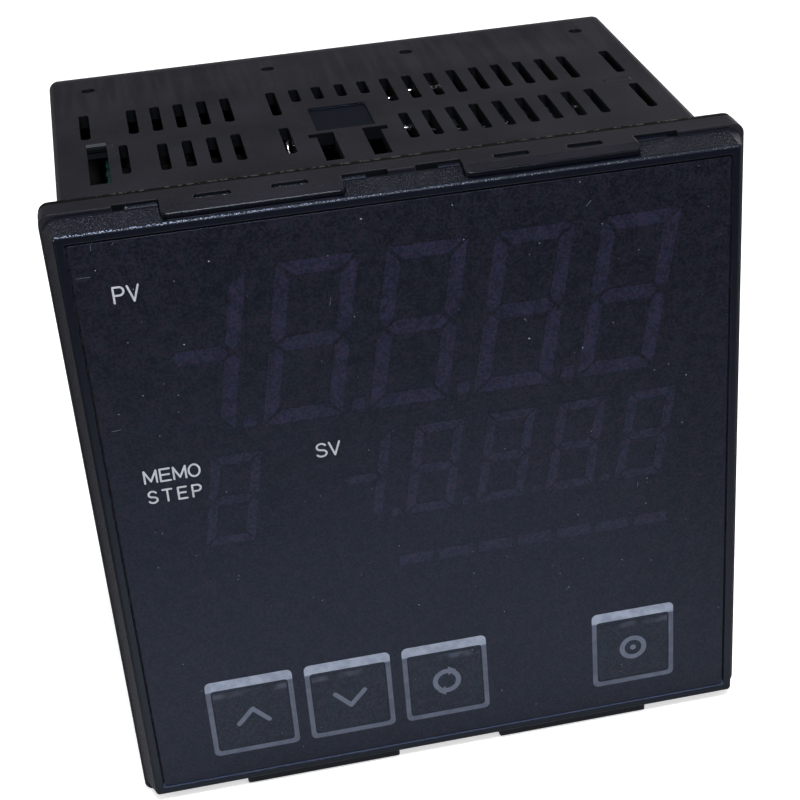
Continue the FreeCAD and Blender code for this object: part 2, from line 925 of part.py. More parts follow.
def term_heights():
    return [(n - (term_count - 1) / 2) * term_pitch for n in range(term_count)]


def terminal_contact(z):
    """Flat contact under the clamp plate, with a tail that presses on the board's edge."""
    outer = board_outer + tail_gap + tail_thickness
    plate = block(term_x - contact_reach, outer, contact_front, block_floor,
                  z - contact_width / 2, z + contact_width / 2)
    tail = block(board_outer + tail_gap, outer, tail_front, contact_front,
                 z - tail_width / 2, z + tail_width / 2)
    hole = rod(screw_hole, Vector(term_x, contact_front - over, z), Vector(term_x, block_floor + over, z))
    return plate.fuse(tail).cut(hole).removeSplitter()


def terminal_block():
    half_x = block_width / 2
    half_z = block_height / 2
    body = block(term_x - half_x, term_x + half_x, block_front, block_floor, -half_z, half_z)
    lip = block(term_x - half_x - block_lip, term_x + half_x + block_lip,
                rear_face - block_lip_depth, rear_face, -half_z - block_lip, half_z + block_lip)
    walls = []
    for n in range(term_count + 1):
        z = (n - term_count / 2) * term_pitch
        walls.append(block(term_x - half_x, term_x + half_x, block_floor, barrier_end,
                           z - barrier_thickness / 2, z + barrier_thickness / 2))
    walls.append(block(term_x - half_x, term_x - half_x + barrier_thickness, block_floor, barrier_end,
                       -term_count * term_pitch / 2, term_count * term_pitch / 2))
    face_room = block(term_x - half_x + barrier_thickness, term_x + half_x, block_floor,
                      rear_face + over, -term_count * term_pitch / 2, term_count * term_pitch / 2)
    body = body.fuse(lip).cut(face_room).fuse(walls)
    holes = [rod(screw_hole, Vector(term_x, contact_front - screw_depth - screw_hole_spare, z),
                 Vector(term_x, block_floor + over, z)) for z in term_heights()]
    contacts = [terminal_contact(z) for z in term_heights()]
    return body.cut(holes + contacts).removeSplitter()


def terminal_screw(z):
    shank = rod(screw_diameter, Vector(term_x, contact_front - screw_depth, z),
                Vector(term_x, clamp_back, z))
    head = rod(screw_head_diameter, Vector(term_x, clamp_back, z),
               Vector(term_x, clamp_back + screw_head_height, z))
    head = head.makeChamfer(screw_head_edge, [e for e in head.Edges
                                              if abs(e.Vertexes[0].Y - clamp_back) > over
                                              and len(e.Vertexes) == 1])
    cuts = []
    for width, height in ((cross_length, cross_width), (cross_width, cross_length)):
        cuts.append(block(term_x - width / 2, term_x + width / 2,
                          clamp_back + screw_head_height - cross_depth,
                          clamp_back + screw_head_height + over, z - height / 2, z + height / 2))
    return shank.fuse(head).cut(cuts)


def clamp_plate(z):
    plate = block(term_x - plate_width / 2, term_x + plate_width / 2, block_floor, clamp_back,
                  z - plate_height / 2, z + plate_height / 2)
    return plate.cut(rod(screw_hole, Vector(term_x, block_floor - over, z),
                         Vector(term_x, clamp_back + over, z)))


def both_columns(make):
    return Part.makeCompound(left_and_right([make(z) for z in term_heights()]))


# ---------------------------------------------------------------- write the pieces

os.makedirs("parts", exist_ok=True)

export("outer_case", outer_case())
export("panel_gasket", panel_gasket())
export("front_bezel", front_bezel())
export("front_overlay", front_overlay())

for key_name, key_x in key_places.items():
    export("key_" + key_name, key(key_x))
    export("switch_plunger_" + key_name, switch_plunger(key_x))
    export("tact_switch_" + key_name, tact_switch(key_x))

export("lcd_glass", lcd_glass())
export("lcd_holder", lcd_holder())
export("elastomer_strip_upper", elastomer_strip(1))
export("elastomer_strip_lower", elastomer_strip(-1))
export("light_guide", light_guide())
export("reflector_sheet", reflector_sheet())
export("display_board", display_board())
export("display_board_screws", display_board_screws())

export("inner_frame", inner_frame())
export("main_board", side_board(1))
export("power_board", side_board(-1))
export("side_board_screws", side_board_screws())
export("display_header_right", display_header(1))
export("display_header_left", display_header(-1))
export("header_pins_right", header_pin_set(1))
export("header_pins_left", header_pin_set(-1))

export("transformer_core", transformer_core())
export("transformer_winding", transformer_winding())
for part_name, (side, diameter, length, y, drop) in round_capacitors.items():
    export(part_name, round_capacitor(side, diameter, length, y, board_half - drop))
export("supply_capacitor", round_capacitor(-1, supply_diameter, supply_length,
                                           board_end - supply_rear_margin,
                                           supply_rise - board_half))
for part_name, (side, reach, height, front, margin, rise) in block_parts.items():
    export(part_name, block_part(side, reach, height, front, board_end - margin,
                                 rise - board_half))
export("film_capacitor", block_part(1, film_capacitor_reach, film_capacitor_height,
                                    film_capacitor_front,
                                    film_capacitor_front + film_capacitor_length,
                                    board_half - film_capacitor_drop))
processor_rear = board_end - processor_rear_margin
export("processor", block_part(1, processor_thickness, processor_side,
                               processor_rear - processor_side, processor_rear,
                               processor_rise - board_half))
export("fuse_tube", fuse_tube())
export("fuse_caps", fuse_caps())

terminal_right = terminal_block()
export("terminal_block_right", terminal_right)
export("terminal_block_left", on_board(terminal_right, -1))
export("terminal_contacts", both_columns(terminal_contact))
export("terminal_clamp_plates", both_columns(clamp_plate))
export("terminal_screws", both_columns(terminal_screw))
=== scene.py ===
import math

import bmesh
import bpy
from mathutils import Matrix, Vector


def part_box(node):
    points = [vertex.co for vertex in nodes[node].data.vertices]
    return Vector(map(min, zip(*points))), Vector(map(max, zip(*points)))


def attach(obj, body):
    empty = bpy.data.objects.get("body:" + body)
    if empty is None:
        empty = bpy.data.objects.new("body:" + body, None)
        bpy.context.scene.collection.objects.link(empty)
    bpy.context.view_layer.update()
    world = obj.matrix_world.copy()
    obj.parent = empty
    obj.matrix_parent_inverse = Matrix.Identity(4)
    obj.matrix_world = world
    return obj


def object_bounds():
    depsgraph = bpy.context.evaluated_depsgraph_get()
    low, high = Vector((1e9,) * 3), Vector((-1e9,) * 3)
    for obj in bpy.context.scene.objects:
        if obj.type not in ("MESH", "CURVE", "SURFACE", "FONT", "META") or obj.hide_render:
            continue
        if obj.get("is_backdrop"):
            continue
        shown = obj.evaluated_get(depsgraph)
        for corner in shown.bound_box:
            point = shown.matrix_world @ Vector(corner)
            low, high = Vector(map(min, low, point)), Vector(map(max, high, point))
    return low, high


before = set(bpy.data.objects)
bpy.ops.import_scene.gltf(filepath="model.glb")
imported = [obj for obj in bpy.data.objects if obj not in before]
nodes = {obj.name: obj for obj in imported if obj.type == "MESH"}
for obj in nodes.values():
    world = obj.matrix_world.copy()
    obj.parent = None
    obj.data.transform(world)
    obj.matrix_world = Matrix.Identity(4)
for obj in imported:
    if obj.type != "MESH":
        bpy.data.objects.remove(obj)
cad_low, cad_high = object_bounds()


# ---------------------------------------------------------------- steps of the finishes

def srgb(red, green, blue):
    """Linear colour from the 0-255 values it shows as."""
    values = [v / 255 for v in (red, green, blue)]
    return tuple(v / 12.92 if v <= 0.04045 else ((v + 0.055) / 1.055) ** 2.4
                 for v in values) + (1.0,)


def new_finish(name):
    """A material named for the surface that wears it: with its tree, shader and coordinates."""
    finish = bpy.data.materials.new(name)
    finish.use_nodes = True
    tree = finish.node_tree
    return finish, tree, tree.nodes["Principled BSDF"], on_object(tree)


def wire(tree, socket, value):
    """Joins a socket to another one, or sets it to a plain value."""
    if isinstance(value, bpy.types.NodeSocket):
        tree.links.new(value, socket)
    else:
        socket.default_value = value


def node(tree, kind, settings=None, **inputs):
    """A new node of a tree. An input's name has underscores for its spaces."""
    made = tree.nodes.new(kind)
    for key, value in (settings or {}).items():
        setattr(made, key, value)
    for key, value in inputs.items():
        wire(tree, made.inputs[key.replace("_", " ")], value)
    return made


def step(tree, kind, settings=None, **inputs):
    """One step of a finish."""
    return node(tree, "ShaderNode" + kind, settings, **inputs)


def on_object(tree):
    return step(tree, "TexCoord").outputs["Object"]


def grain(tree, where, size, detail=2.0, roughness=0.5):
    """Even noise whose lumps are about this size in metres."""
    return step(tree, "TexNoise", Vector=where, Scale=1 / size, Detail=detail,
                Roughness=roughness).outputs["Fac"]


def ramp(tree, value, low, high, start=0.0, end=1.0):
    """Smooth change from start to end while value goes from low to high."""
    return step(tree, "MapRange", {"interpolation_type": "SMOOTHSTEP"}, Value=value,
                From_Min=low, From_Max=high, To_Min=start, To_Max=end).outputs["Result"]


def sums(tree, operation, first, second, clamp=False):
    made = tree.nodes.new("ShaderNodeMath")
    made.operation, made.use_clamp = operation, clamp
    wire(tree, made.inputs[0], first)
    wire(tree, made.inputs[1], second)
    return made.outputs[0]


def times(tree, first, *others):
    for other in others:
        first = sums(tree, "MULTIPLY", first, other)
    return first


def plus(tree, first, *others):
    for other in others:
        first = sums(tree, "ADD", first, other)
    return first


def rest_of(tree, share):
    return sums(tree, "SUBTRACT", 1.0, share)


def larger(tree, first, second):
    return sums(tree, "MAXIMUM", first, second)


def away(tree, value):
    """Distance to either side of the middle plane."""
    return sums(tree, "ABSOLUTE", value, 0.0)


def between(tree, value, begins, full, fades, ends):
    """1 from full to fades, and 0 before begins and past ends."""
    return times(tree, ramp(tree, value, begins, full), ramp(tree, value, ends, fades))


def mixed(tree, share, first, second):
    """Colour between first and second."""
    made = tree.nodes.new("ShaderNodeMix")
    made.data_type = "RGBA"
    wire(tree, made.inputs[0], share)
    wire(tree, made.inputs[6], first)
    wire(tree, made.inputs[7], second)
    return made.outputs[2]


def bumps(tree, height, distance, strength=1.0, normal=None):
    made = step(tree, "Bump", Height=height, Distance=distance, Strength=strength)
    if normal is not None:
        wire(tree, made.inputs["Normal"], normal)
    return made.outputs["Normal"]


def eased(tree, radius):
    """Edges rounded in shading, as a mould leaves them."""
    return step(tree, "Bevel", {"samples": 6}, Radius=radius).outputs["Normal"]


def parts_of(tree, where):
    """The three coordinates of a place, in millimetres."""
    larger_scale = step(tree, "VectorMath", {"operation": "SCALE"}, Vector=where, Scale=1000.0)
    split = step(tree, "SeparateXYZ", Vector=larger_scale.outputs["Vector"])
    return [split.outputs[axis] for axis in "XYZ"]


def paint(tree, shader, colour, rough, normal=None, **even):
    """Wires a finish's colour, roughness and normal. Sets what is the same all over."""
    wire(tree, shader.inputs["Base Color"], colour)
    wire(tree, shader.inputs["Roughness"], rough)
    if normal is not None:
        wire(tree, shader.inputs["Normal"], normal)
    for name, value in even.items():
        shader.inputs[name.replace("_", " ")].default_value = value


def dress(finish, *names):
    for name in names:
        for index in range(len(nodes[name].data.materials)):
            nodes[name].data.materials[index] = finish


# ---------------------------------------------------------------- front bezel
# The moulded frame that carries the film, the keys and the display. Spark-textured black
# plastic on its four sloping sides, plain and smooth on the rim round the film. It snaps
# to the case with hooks that show in the windows of the case's tabs.

bezel_finish, tree, shader, where = new_finish("bezel_black")
across, inward, upward = parts_of(tree, where)
beside, height = away(tree, across), away(tree, upward)
rim_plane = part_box("front_bezel")[0].y * 1000
behind = sums(tree, "SUBTRACT", inward, rim_plane)
fine = grain(tree, where, 0.00022, 2.0, 0.6)
coarse = grain(tree, where, 0.0006, 2.0)
patches = grain(tree, where, 0.009, 3.0)

# The frame's front edge is chamfered. The texture ends on it in a row of polished grains.
outer = ramp(tree, larger(tree, height, plus(tree, beside, 0.1)), 46.0, 46.08)
chamfer = times(tree, outer, ramp(tree, behind, 0.35, 0.25))
crest = between(tree, behind, 0.04, 0.07, 0.13, 0.17)

# It is plain on the hooks. Where the tabs hang over it, it is plain and darker: painted shade.
hooks = times(tree, ramp(tree, height, 46.1, 46.3), ramp(tree, behind, 3.0, 3.3))
shaded_under_tabs = times(tree, between(tree, beside, 8.2, 8.4, 32.0, 32.2),
                   ramp(tree, height, 46.1, 46.3), ramp(tree, behind, 1.1, 0.9))
bare = larger(tree, chamfer, larger(tree, hooks, shaded_under_tabs))
spark = times(tree, ramp(tree, behind, 0.01, 0.04), rest_of(tree, bare))

# Painted highlights: pale grains on the sloping sides and pale beads on the chamfer, both
# fading toward the right. Painted highlight: the recess's lower wall is painted paler than the
# rim.
leftward = ramp(tree, across, -35.0, 20.0, 1.0, 0.12)
painted_glints = times(tree, ramp(tree, grain(tree, where, 0.00016, 0.0), 0.64, 0.78), leftward)
grey_black = mixed(tree, fine, srgb(6, 6, 11), srgb(26, 26, 35))
grey_black = mixed(tree, painted_glints, grey_black, srgb(72, 72, 84))
# Painted highlight: pale beads along the chamfer's crest.
painted_bead_glints = times(tree, ramp(tree, grain(tree, where, 0.0002, 0.0), 0.54, 0.62),
                   between(tree, behind, 0.08, 0.13, 0.19, 0.24),
                   ramp(tree, upward, 45.8, 46.0), leftward)
plain_black = mixed(tree, patches, srgb(5, 8, 17), srgb(9, 12, 23))
plain_black = mixed(tree, painted_bead_glints, plain_black, srgb(130, 140, 165))
# Painted highlight: a pale line on the recess's lower wall.
painted_sill_light = times(tree, ramp(tree, upward, -44.0, -44.5), ramp(tree, behind, 0.02, 0.08),
             ramp(tree, larger(tree, height, beside), 45.5, 45.3))
plain_black = mixed(tree, painted_sill_light, plain_black, srgb(60, 70, 95))

hook_shine = times(tree, hooks, ramp(tree, height, 47.55, 47.65, 0.58, -0.12))
broad = plus(tree, ramp(tree, spark, 0.0, 1.0, 0.22, 0.3), times(tree, coarse, 0.06), hook_shine)
beads = larger(tree, ramp(tree, grain(tree, where, 0.00017, 1.0), 0.45, 0.55, 0.16, 0.5),
               ramp(tree, crest, 0.0, 1.0, 0.7, 0.0))
pitting = times(tree, plus(tree, fine, times(tree, coarse, 0.5)),
                larger(tree, ramp(tree, spark, 0.0, 1.0, 0.04, 1.0), times(tree, chamfer, 0.22)))
paint(tree, shader,
      mixed(tree, sums(tree, "SUBTRACT", spark, painted_sill_light, True), plain_black, grey_black),
      plus(tree, times(tree, chamfer, beads), times(tree, rest_of(tree, chamfer), broad)),
      bumps(tree, pitting, 0.0003, 0.9,
            eased(tree, ramp(tree, chamfer, 0.0, 1.0, 0.0002, 0.00008))),
      Specular_IOR_Level=0.35, Specular_Tint=(0.72, 0.82, 1.0, 1.0))
dress(bezel_finish, "front_bezel")


# ---------------------------------------------------------------- printed front film
# One sheet of dark polyester with a fine matt face, stuck into the bezel's recess. The
# display's segments show faintly through it, and its legends are printed in light grey.

film_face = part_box("front_overlay")[0].y
PRINT_DEPTH = 0.00003


def film_like(name, low_tone, high_tone, edge=None):
    """The film's matt face, with specks of dust and a soft cloudiness. edge rounds its rim."""
    finish, tree, shader, where = new_finish(name)
    cloud = grain(tree, where, 0.0016, 4.0, 0.65)
    weave = grain(tree, where, 0.00035, 2.0)
    wide = grain(tree, where, 0.02, 2.0)
    tone = plus(tree, times(tree, cloud, 0.3), times(tree, wide, 0.1), times(tree, weave, 0.6))
    spots = step(tree, "TexVoronoi", Vector=where, Scale=420.0, Randomness=1.0)
    chosen = step(tree, "TexWhiteNoise", Vector=spots.outputs["Position"]).outputs["Value"]
    speck = times(tree, ramp(tree, spots.outputs["Distance"], 0.035, 0.02),
                  ramp(tree, chosen, 0.965, 0.99))
    warm, cool = (tuple(v * share for v, share in zip(high_tone, shares)) + (1.0,)
                  for shares in ((1.2, 0.9, 1.0), (0.8, 1.0, 1.08)))
    shimmer = ramp(tree, grain(tree, where, 0.0011, 2.0), 0.38, 0.62)
    pale = mixed(tree, shimmer, warm, cool)
    base = mixed(tree, ramp(tree, tone, 0.385, 0.615), low_tone, pale)
    paint(tree, shader, mixed(tree, speck, base, srgb(96, 98, 104)),
          ramp(tree, cloud, 0.25, 0.75, 0.36, 0.44),
          bumps(tree, plus(tree, weave, times(tree, cloud, 1.5)), 0.00003, 0.35,
                eased(tree, edge) if edge else None),
          Specular_IOR_Level=0.42, Specular_Tint=(0.52, 0.66, 1.0, 1.0))
    return finish


film_finish = film_like("film_dark", srgb(5, 5, 7), srgb(24, 23, 30), 0.00016)
dress(film_finish, "front_overlay")


def plate(name, loops, finish, front, depth=PRINT_DEPTH):
    """Thin flat piece in the front plane. Inner loops are holes."""
    outline = bpy.data.curves.new(name, "CURVE")
    outline.dimensions = "2D"
    outline.fill_mode = "BOTH"
    outline.extrude = depth / 2
    for loop in loops:
        run = outline.splines.new("POLY")
        run.points.add(len(loop) - 1)
        for point, (x, z) in zip(run.points, loop):
            point.co = (x, z, 0.0, 1.0)
        run.use_cyclic_u = True
    return pressed(name, outline, finish, front, depth)


def pressed(name, curve, finish, front, depth):
    """Makes a flat curve or text a mesh, and stands it on the front plane."""
    shape = mesh_of(bpy.data.objects.new(name + "_drawn", curve))
    bpy.data.curves.remove(curve)
    shape.transform(Matrix.Translation((0, front - depth / 2, 0))
                    @ Matrix.Rotation(math.radians(90), 4, "X"))
    return piece_of(name, tidied(shape), finish)


def mesh_of(carrier):
    """The mesh that an object shows. The object itself goes."""
    bpy.context.scene.collection.objects.link(carrier)
    bpy.context.view_layer.update()
    shape = bpy.data.meshes.new_from_object(carrier.evaluated_get(
        bpy.context.evaluated_depsgraph_get()))
    bpy.data.objects.remove(carrier)
    return shape


def tidied(shape):
    """Merged points, with the faces turned outwards."""
    work = bmesh.new()
    work.from_mesh(shape)
    bmesh.ops.remove_doubles(work, verts=work.verts, dist=1e-7)
    bmesh.ops.recalc_face_normals(work, faces=work.faces)
    work.to_mesh(shape)
    work.free()
    return shape


def piece_of(name, shape, finish):
    """An object at the origin that holds the mesh and wears the finish."""
    shape.name = name
    shape.materials.clear()
    shape.materials.append(finish)
    made = bpy.data.objects.new(name, shape)
    bpy.context.scene.collection.objects.link(made)
    return made


def joined(name, pieces, finish):
    """Several pieces made one mesh."""
    work = bmesh.new()
    for piece in pieces:
        work.from_mesh(piece.data)
        spent = piece.data
        bpy.data.objects.remove(piece)
        bpy.data.meshes.remove(spent)
    shape = bpy.data.meshes.new(name)
    work.to_mesh(shape)
    work.free()
    return piece_of(name, shape, finish)


def mm(*points):
    return [(x / 1000, z / 1000) for x, z in points]


# The display's segments: dark mauve, a shade lighter than the film.

LEAN = 0.182


def digit(left, which, wide, low, high, middle, stroke, gap, lean_from):
    """Segments of one leaning figure: a to g as a display names them."""
    x0, x1 = left - stroke / 2, left + wide + stroke / 2
    half = stroke / 2
    shapes = {
        "a": [(x0 + gap, high), (x1 - gap, high), (x1 - stroke - gap, high - stroke),
              (x0 + stroke + gap, high - stroke)],
        "d": [(x0 + gap, low), (x0 + stroke + gap, low + stroke),
              (x1 - stroke - gap, low + stroke), (x1 - gap, low)],
        "g": [(x0 + half + gap, middle), (x0 + stroke + gap, middle + half),
              (x1 - stroke - gap, middle + half), (x1 - half - gap, middle),
              (x1 - stroke - gap, middle - half), (x0 + stroke + gap, middle - half)],
        "b": [(x1, high - gap), (x1, middle + half + gap), (x1 - half, middle + gap),
              (x1 - stroke, middle + half + gap), (x1 - stroke, high - stroke - gap)],
        "c": [(x1, low + gap), (x1 - stroke, low + stroke + gap),
              (x1 - stroke, middle - half - gap), (x1 - half, middle - gap),
              (x1, middle - half - gap)],
    }
    for right_side, left_side in (("b", "f"), ("c", "e")):
        shapes[left_side] = [(x0 + x1 - x, z) for x, z in reversed(shapes[right_side])]
    return [mm(*[(x + LEAN * (z - lean_from), z) for x, z in shapes[key]]) for key in which]


segment_finish = film_like("segment_mauve", srgb(17, 15, 27), srgb(33, 31, 49))
faint_segment_finish = film_like("segment_faint", srgb(17, 15, 25), srgb(34, 32, 47))

LARGE_DIGIT = dict(wide=9.1, low=14.7, high=38.6, middle=26.7, stroke=2.0, gap=0.4,
                   lean_from=33.0)
SMALL_DIGIT = dict(wide=5.7, low=-3.3, high=10.9, middle=3.8, stroke=1.3, gap=0.22,
                   lean_from=7.5)

large = []
for left in (-18.4, -3.4, 11.6, 26.6):
    large += digit(left, "abcdefg", **LARGE_DIGIT)
large += digit(-33.5, "bc", **LARGE_DIGIT)
large.append(mm((-33.9, 26.7), (-32.9, 27.7), (-27.2, 27.7), (-26.2, 26.7),
                (-27.2, 25.7), (-32.9, 25.7)))
for x in (-24.5, -9.3, 5.7, 20.8):
    large.append(mm((x - 0.95, 15.0), (x + 0.75, 15.0), (x + 1.05, 16.7), (x - 0.65, 16.7)))
upper_segments = plate("upper_segments", large, segment_finish, film_face)

small = []
for left in (-1.4, 9.1, 19.6, 30.1):
    small += digit(left, "abcdefg", **SMALL_DIGIT)
small += digit(-12.0, "bc", **SMALL_DIGIT)
small.append(mm((-12.2, 3.8), (-11.6, 4.4), (-8.4, 4.4), (-7.8, 3.8), (-8.4, 3.2),
                (-11.6, 3.2)))
small += digit(-30.4, "abcdefg", **SMALL_DIGIT)
for x in (-5.4, 5.1, 15.6, 26.0):
    small.append(mm((x - 0.6, -3.2), (x + 0.5, -3.2), (x + 0.7, -2.1), (x - 0.4, -2.1)))
for index in range(7):
    x = -5.5 + 6 * index
    small.append(mm((x, -11.9), (x + 5.0, -11.9), (x + 5.0, -10.2), (x, -10.2)))
lower_segments = plate("lower_segments", small, faint_segment_finish, film_face)

for piece in (upper_segments, lower_segments):
    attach(piece, "instrument")

# Legends of the two displays, in drawn strokes of one width.


def arc(x, z, wide, high, start, end, count=10):
    """Points on part of an ellipse, angles in degrees."""
    return [(x + wide * math.cos(math.radians(start + (end - start) * i / count)),
             z + high * math.sin(math.radians(start + (end - start) * i / count)))
            for i in range(count + 1)]


def line_outline(line, width, corner_steps=4):
    """Loops round a drawn line of even width, its ends and outer corners round."""
    closed = (Vector(line[0]) - Vector(line[-1])).length < 1e-6
    points = [Vector(point) for point in (line[:-1] if closed else line)]
    ways = [(after - before).normalized()
            for before, after in zip(points, points[1:] + points[:1])]
    left, right = [], []
    for index, point in enumerate(points):
        first = ways[index - 1] if index or closed else ways[0]
        second = ways[index] if closed or index < len(points) - 1 else first
        for side, sign in ((left, width / 2), (right, -width / 2)):
            begins, ends = (Vector((-way.y, way.x)) * sign for way in (first, second))
            if first.cross(second) * sign > 0 or first.dot(second) > 0.85:
                side.append(point + (begins + ends) / (1 + begins.dot(ends) / (width / 2) ** 2))
                continue
            for index_round in range(corner_steps + 1):
                share = index_round / corner_steps
                side.append(point + begins.lerp(ends, share).normalized() * width / 2)
    if closed:
        return [left, right[::-1]]
    caps = []
    for centre, way in ((points[-1], ways[-2]), (points[0], -ways[0])):
        angle = math.degrees(math.atan2(way.y, way.x))
        round_end = arc(centre.x, centre.y, width / 2, width / 2, angle + 90, angle - 90, 6)
        caps.append(round_end[1:-1])
    return [left + caps[0] + right[::-1] + caps[1]]


def drawn(name, lines, width, finish, front):
    """Printed line work as one mesh. Lines that cross lie a few microns apart."""
    made = [plate(f"{name}_{index}", [mm(*loop) for loop in line_outline(line, width)],
                  finish, front, PRINT_DEPTH + 0.000005 * (index % 3))
            for index, line in enumerate(lines)]
    return joined(name, made, finish)


LETTERS = {
    "P": [[(0.0, 0.0), (0.0, 1.0)],
          [(0.0, 1.0)] + arc(0.55, 0.735, 0.4, 0.265, 90, -90) + [(0.0, 0.47)]],
    "V": [[(0.0, 1.0), (0.5, 0.0), (1.0, 1.0)]],
    "S": [arc(0.5, 0.75, 0.44, 0.25, 25, 270, 12)
          + arc(0.5, 0.25, 0.48, 0.25, 90, -155, 12)[1:]],
    "M": [[(0.0, 0.0), (0.0, 1.0), (0.5, 0.12), (1.0, 1.0), (1.0, 0.0)]],
    "E": [[(0.95, 1.0), (0.05, 1.0), (0.05, 0.0), (0.98, 0.0)], [(0.05, 0.52), (0.88, 0.52)]],
    "O": [arc(0.5, 0.5, 0.52, 0.5, 90, 450, 24)],
    "T": [[(0.0, 1.0), (1.0, 1.0)], [(0.5, 1.0), (0.5, 0.0)]],
}


def legend(text, left, low, letter_width, height, space, stroke):
    """Lines of one printed word, in millimetres."""
    lines = []
    x = left + stroke / 2
    for letter in text:
        wide = letter_width * (1.12 if letter == "M" else 1.0)
        for line in LETTERS[letter]:
            lines.append([(x + u * (wide - stroke), low + stroke / 2 + v * (height - stroke))
                          for u, v in line])
        x += wide + space
    return lines


def worn_ink(tree, shader, blotch, worn, fresh, dull=0.55):
    """Ink on the film, a little worn and uneven."""
    paint(tree, shader, mixed(tree, ramp(tree, blotch, 0.3, 0.7), worn, fresh),
          ramp(tree, blotch, 0.2, 0.8, 0.4, dull), bumps(tree, blotch, 0.00001, 0.4),
          Specular_IOR_Level=0.3)


def printed(name, tone, wear):
    """Ink of one tone."""
    finish, tree, shader, where = new_finish(name)
    worn = tuple(v * wear for v in tone[:3]) + (1.0,)
    worn_ink(tree, shader, grain(tree, where, 0.0011, 4.0, 0.6), worn, tone)
    return finish


legend_ink = printed("legend_ink", srgb(178, 182, 190), 0.78)
words = legend("PV", -40.0, 36.0, 1.72, 2.5, 0.15, 0.28)
words += legend("MEMO", -40.1, 8.4, 1.72, 2.15, 0.2, 0.26)
words += legend("STEP", -40.0, 5.15, 1.5, 2.1, 0.56, 0.26)
words += legend("SV", -16.0, 8.3, 1.72, 2.3, 0.15, 0.26)
legends = drawn("legends", words, 0.27, legend_ink, film_face)
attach(legends, "instrument")

# The film has a few short scratches and small patches of dust.
scratch_pale = printed("scratch_pale", srgb(86, 90, 98), 0.4)
scratches = drawn("scratches", [
    [(-44.2, 40.28), (-43.3, 40.32), (-42.4, 40.3)], [(-41.72, 43.9), (-41.68, 44.7)],
    [(-38.95, 44.35), (-38.75, 44.6)], [(-11.8, 31.5), (-11.55, 32.5)],
    [(-43.2, 17.4), (-41.9, 17.5)], [(24.2, 40.6), (24.9, 41.3)], [(31.0, -5.2), (31.1, -4.4)],
], 0.07, scratch_pale, film_face)
dust_pale = printed("dust_pale", srgb(150, 152, 158), 0.6)
patches = [plate("patch", [mm(*arc(x, z, size, size * 0.7, 0, 330, 11))], dust_pale, film_face)
           for x, z, size in ((26.6, 35.5, 0.16), (23.2, 19.3, 0.12), (15.5, 22.0, 0.13),
                              (-31.8, 28.8, 0.1), (-27.0, 40.2, 0.12), (-41.6, 41.1, 0.09),
                              (-6.5, 43.2, 0.15), (38.5, 12.4, 0.1), (-3.2, -19.5, 0.1))]
dust_patches = joined("dust_patches", patches, dust_pale)
for piece in (scratches, dust_patches):
    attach(piece, "instrument")


# ---------------------------------------------------------------- keys
# Four push keys under the film's openings. The film carries a printed frame round each
# key, with a broad bar above. The film on a key is embossed near its upper edge, and
# has a printed sign.

key_names = ("up", "down", "mode", "out_off")
key_box = {name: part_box("key_" + name) for name in key_names}
key_middle = {name: ((low.x + high.x) * 500, (low.z + high.z) * 500)
              for name, (low, high) in key_box.items()}


def round_corners(x0, x1, z0, z1, radius, count=6):
    loop = []
    for cx, cz, start in ((x1 - radius, z0 + radius, -90), (x1 - radius, z1 - radius, 0),
                          (x0 + radius, z1 - radius, 90), (x0 + radius, z0 + radius, 180)):
        for index in range(count + 1):
            turn = math.radians(start + 90 * index / count)
            loop.append((cx + radius * math.cos(turn), cz + radius * math.sin(turn)))
    return loop


# The frames' grey ink is heavier and paler on the bar above the key.
key_frame_ink, tree, shader, where = new_finish("key_frame_ink")
bar = ramp(tree, parts_of(tree, where)[2], -29.05, -28.7)
worn_ink(tree, shader, grain(tree, where, 0.0016, 4.0, 0.6),
         mixed(tree, bar, srgb(68, 74, 90), srgb(119, 128, 146)),
         mixed(tree, bar, srgb(82, 89, 106), srgb(142, 151, 168)), 0.52)

key_frames, key_hinges = [], []
for name in key_names:
    x, z = key_middle[name]
    key_frames.append(plate("key_frame_" + name, [
        mm(*round_corners(x - 6.58, x + 6.58, z - 6.5, z + 7.35, 0.85)),
        mm(*reversed(round_corners(x - 5.84, x + 5.84, z - 5.69, z + 5.69, 0.52))),
    ], key_frame_ink, film_face))
    key_hinges.append(plate("key_hinge_" + name, [
        mm(*round_corners(x - 5.85, x + 5.85, z - 5.7, z + 5.7, 0.52)),
        mm(*reversed(round_corners(x - 5.58, x + 5.58, z - 5.43, z + 5.43, 0.5))),
    ], film_finish, film_face, 0.000012))
key_frame = joined("key_frames", key_frames, key_frame_ink)
key_hinge = joined("key_hinges", key_hinges, film_finish)
for piece in (key_frame, key_hinge):
    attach(piece, "instrument")


def key_face():
    """The front film's own finish, with a ridge embossed below the bar and a painted highlight
    along it.
    """
    finish = film_like("key_film_dark", srgb(9, 9, 10), srgb(30, 32, 37))
    tree = finish.node_tree
    colour, normal = (tree.nodes["Principled BSDF"].inputs[name]
                      for name in ("Base Color", "Normal"))
    where = on_object(tree)
    # Painted highlight: the ridge is painted paler, in patches.
    ridge = between(tree, parts_of(tree, where)[2], -30.6, -30.0, -29.6, -29.2)
    worn = ramp(tree, grain(tree, where, 0.004, 2.0), 0.36, 0.6)
    wire(tree, colour, mixed(tree, times(tree, ridge, worn, 0.8), colour.links[0].from_socket,
                             srgb(62, 66, 77)))
    wire(tree, normal, bumps(tree, ridge, 0.00004, 0.6, normal.links[0].from_socket))
    return finish


dress(key_face(), *["key_" + name for name in key_names])

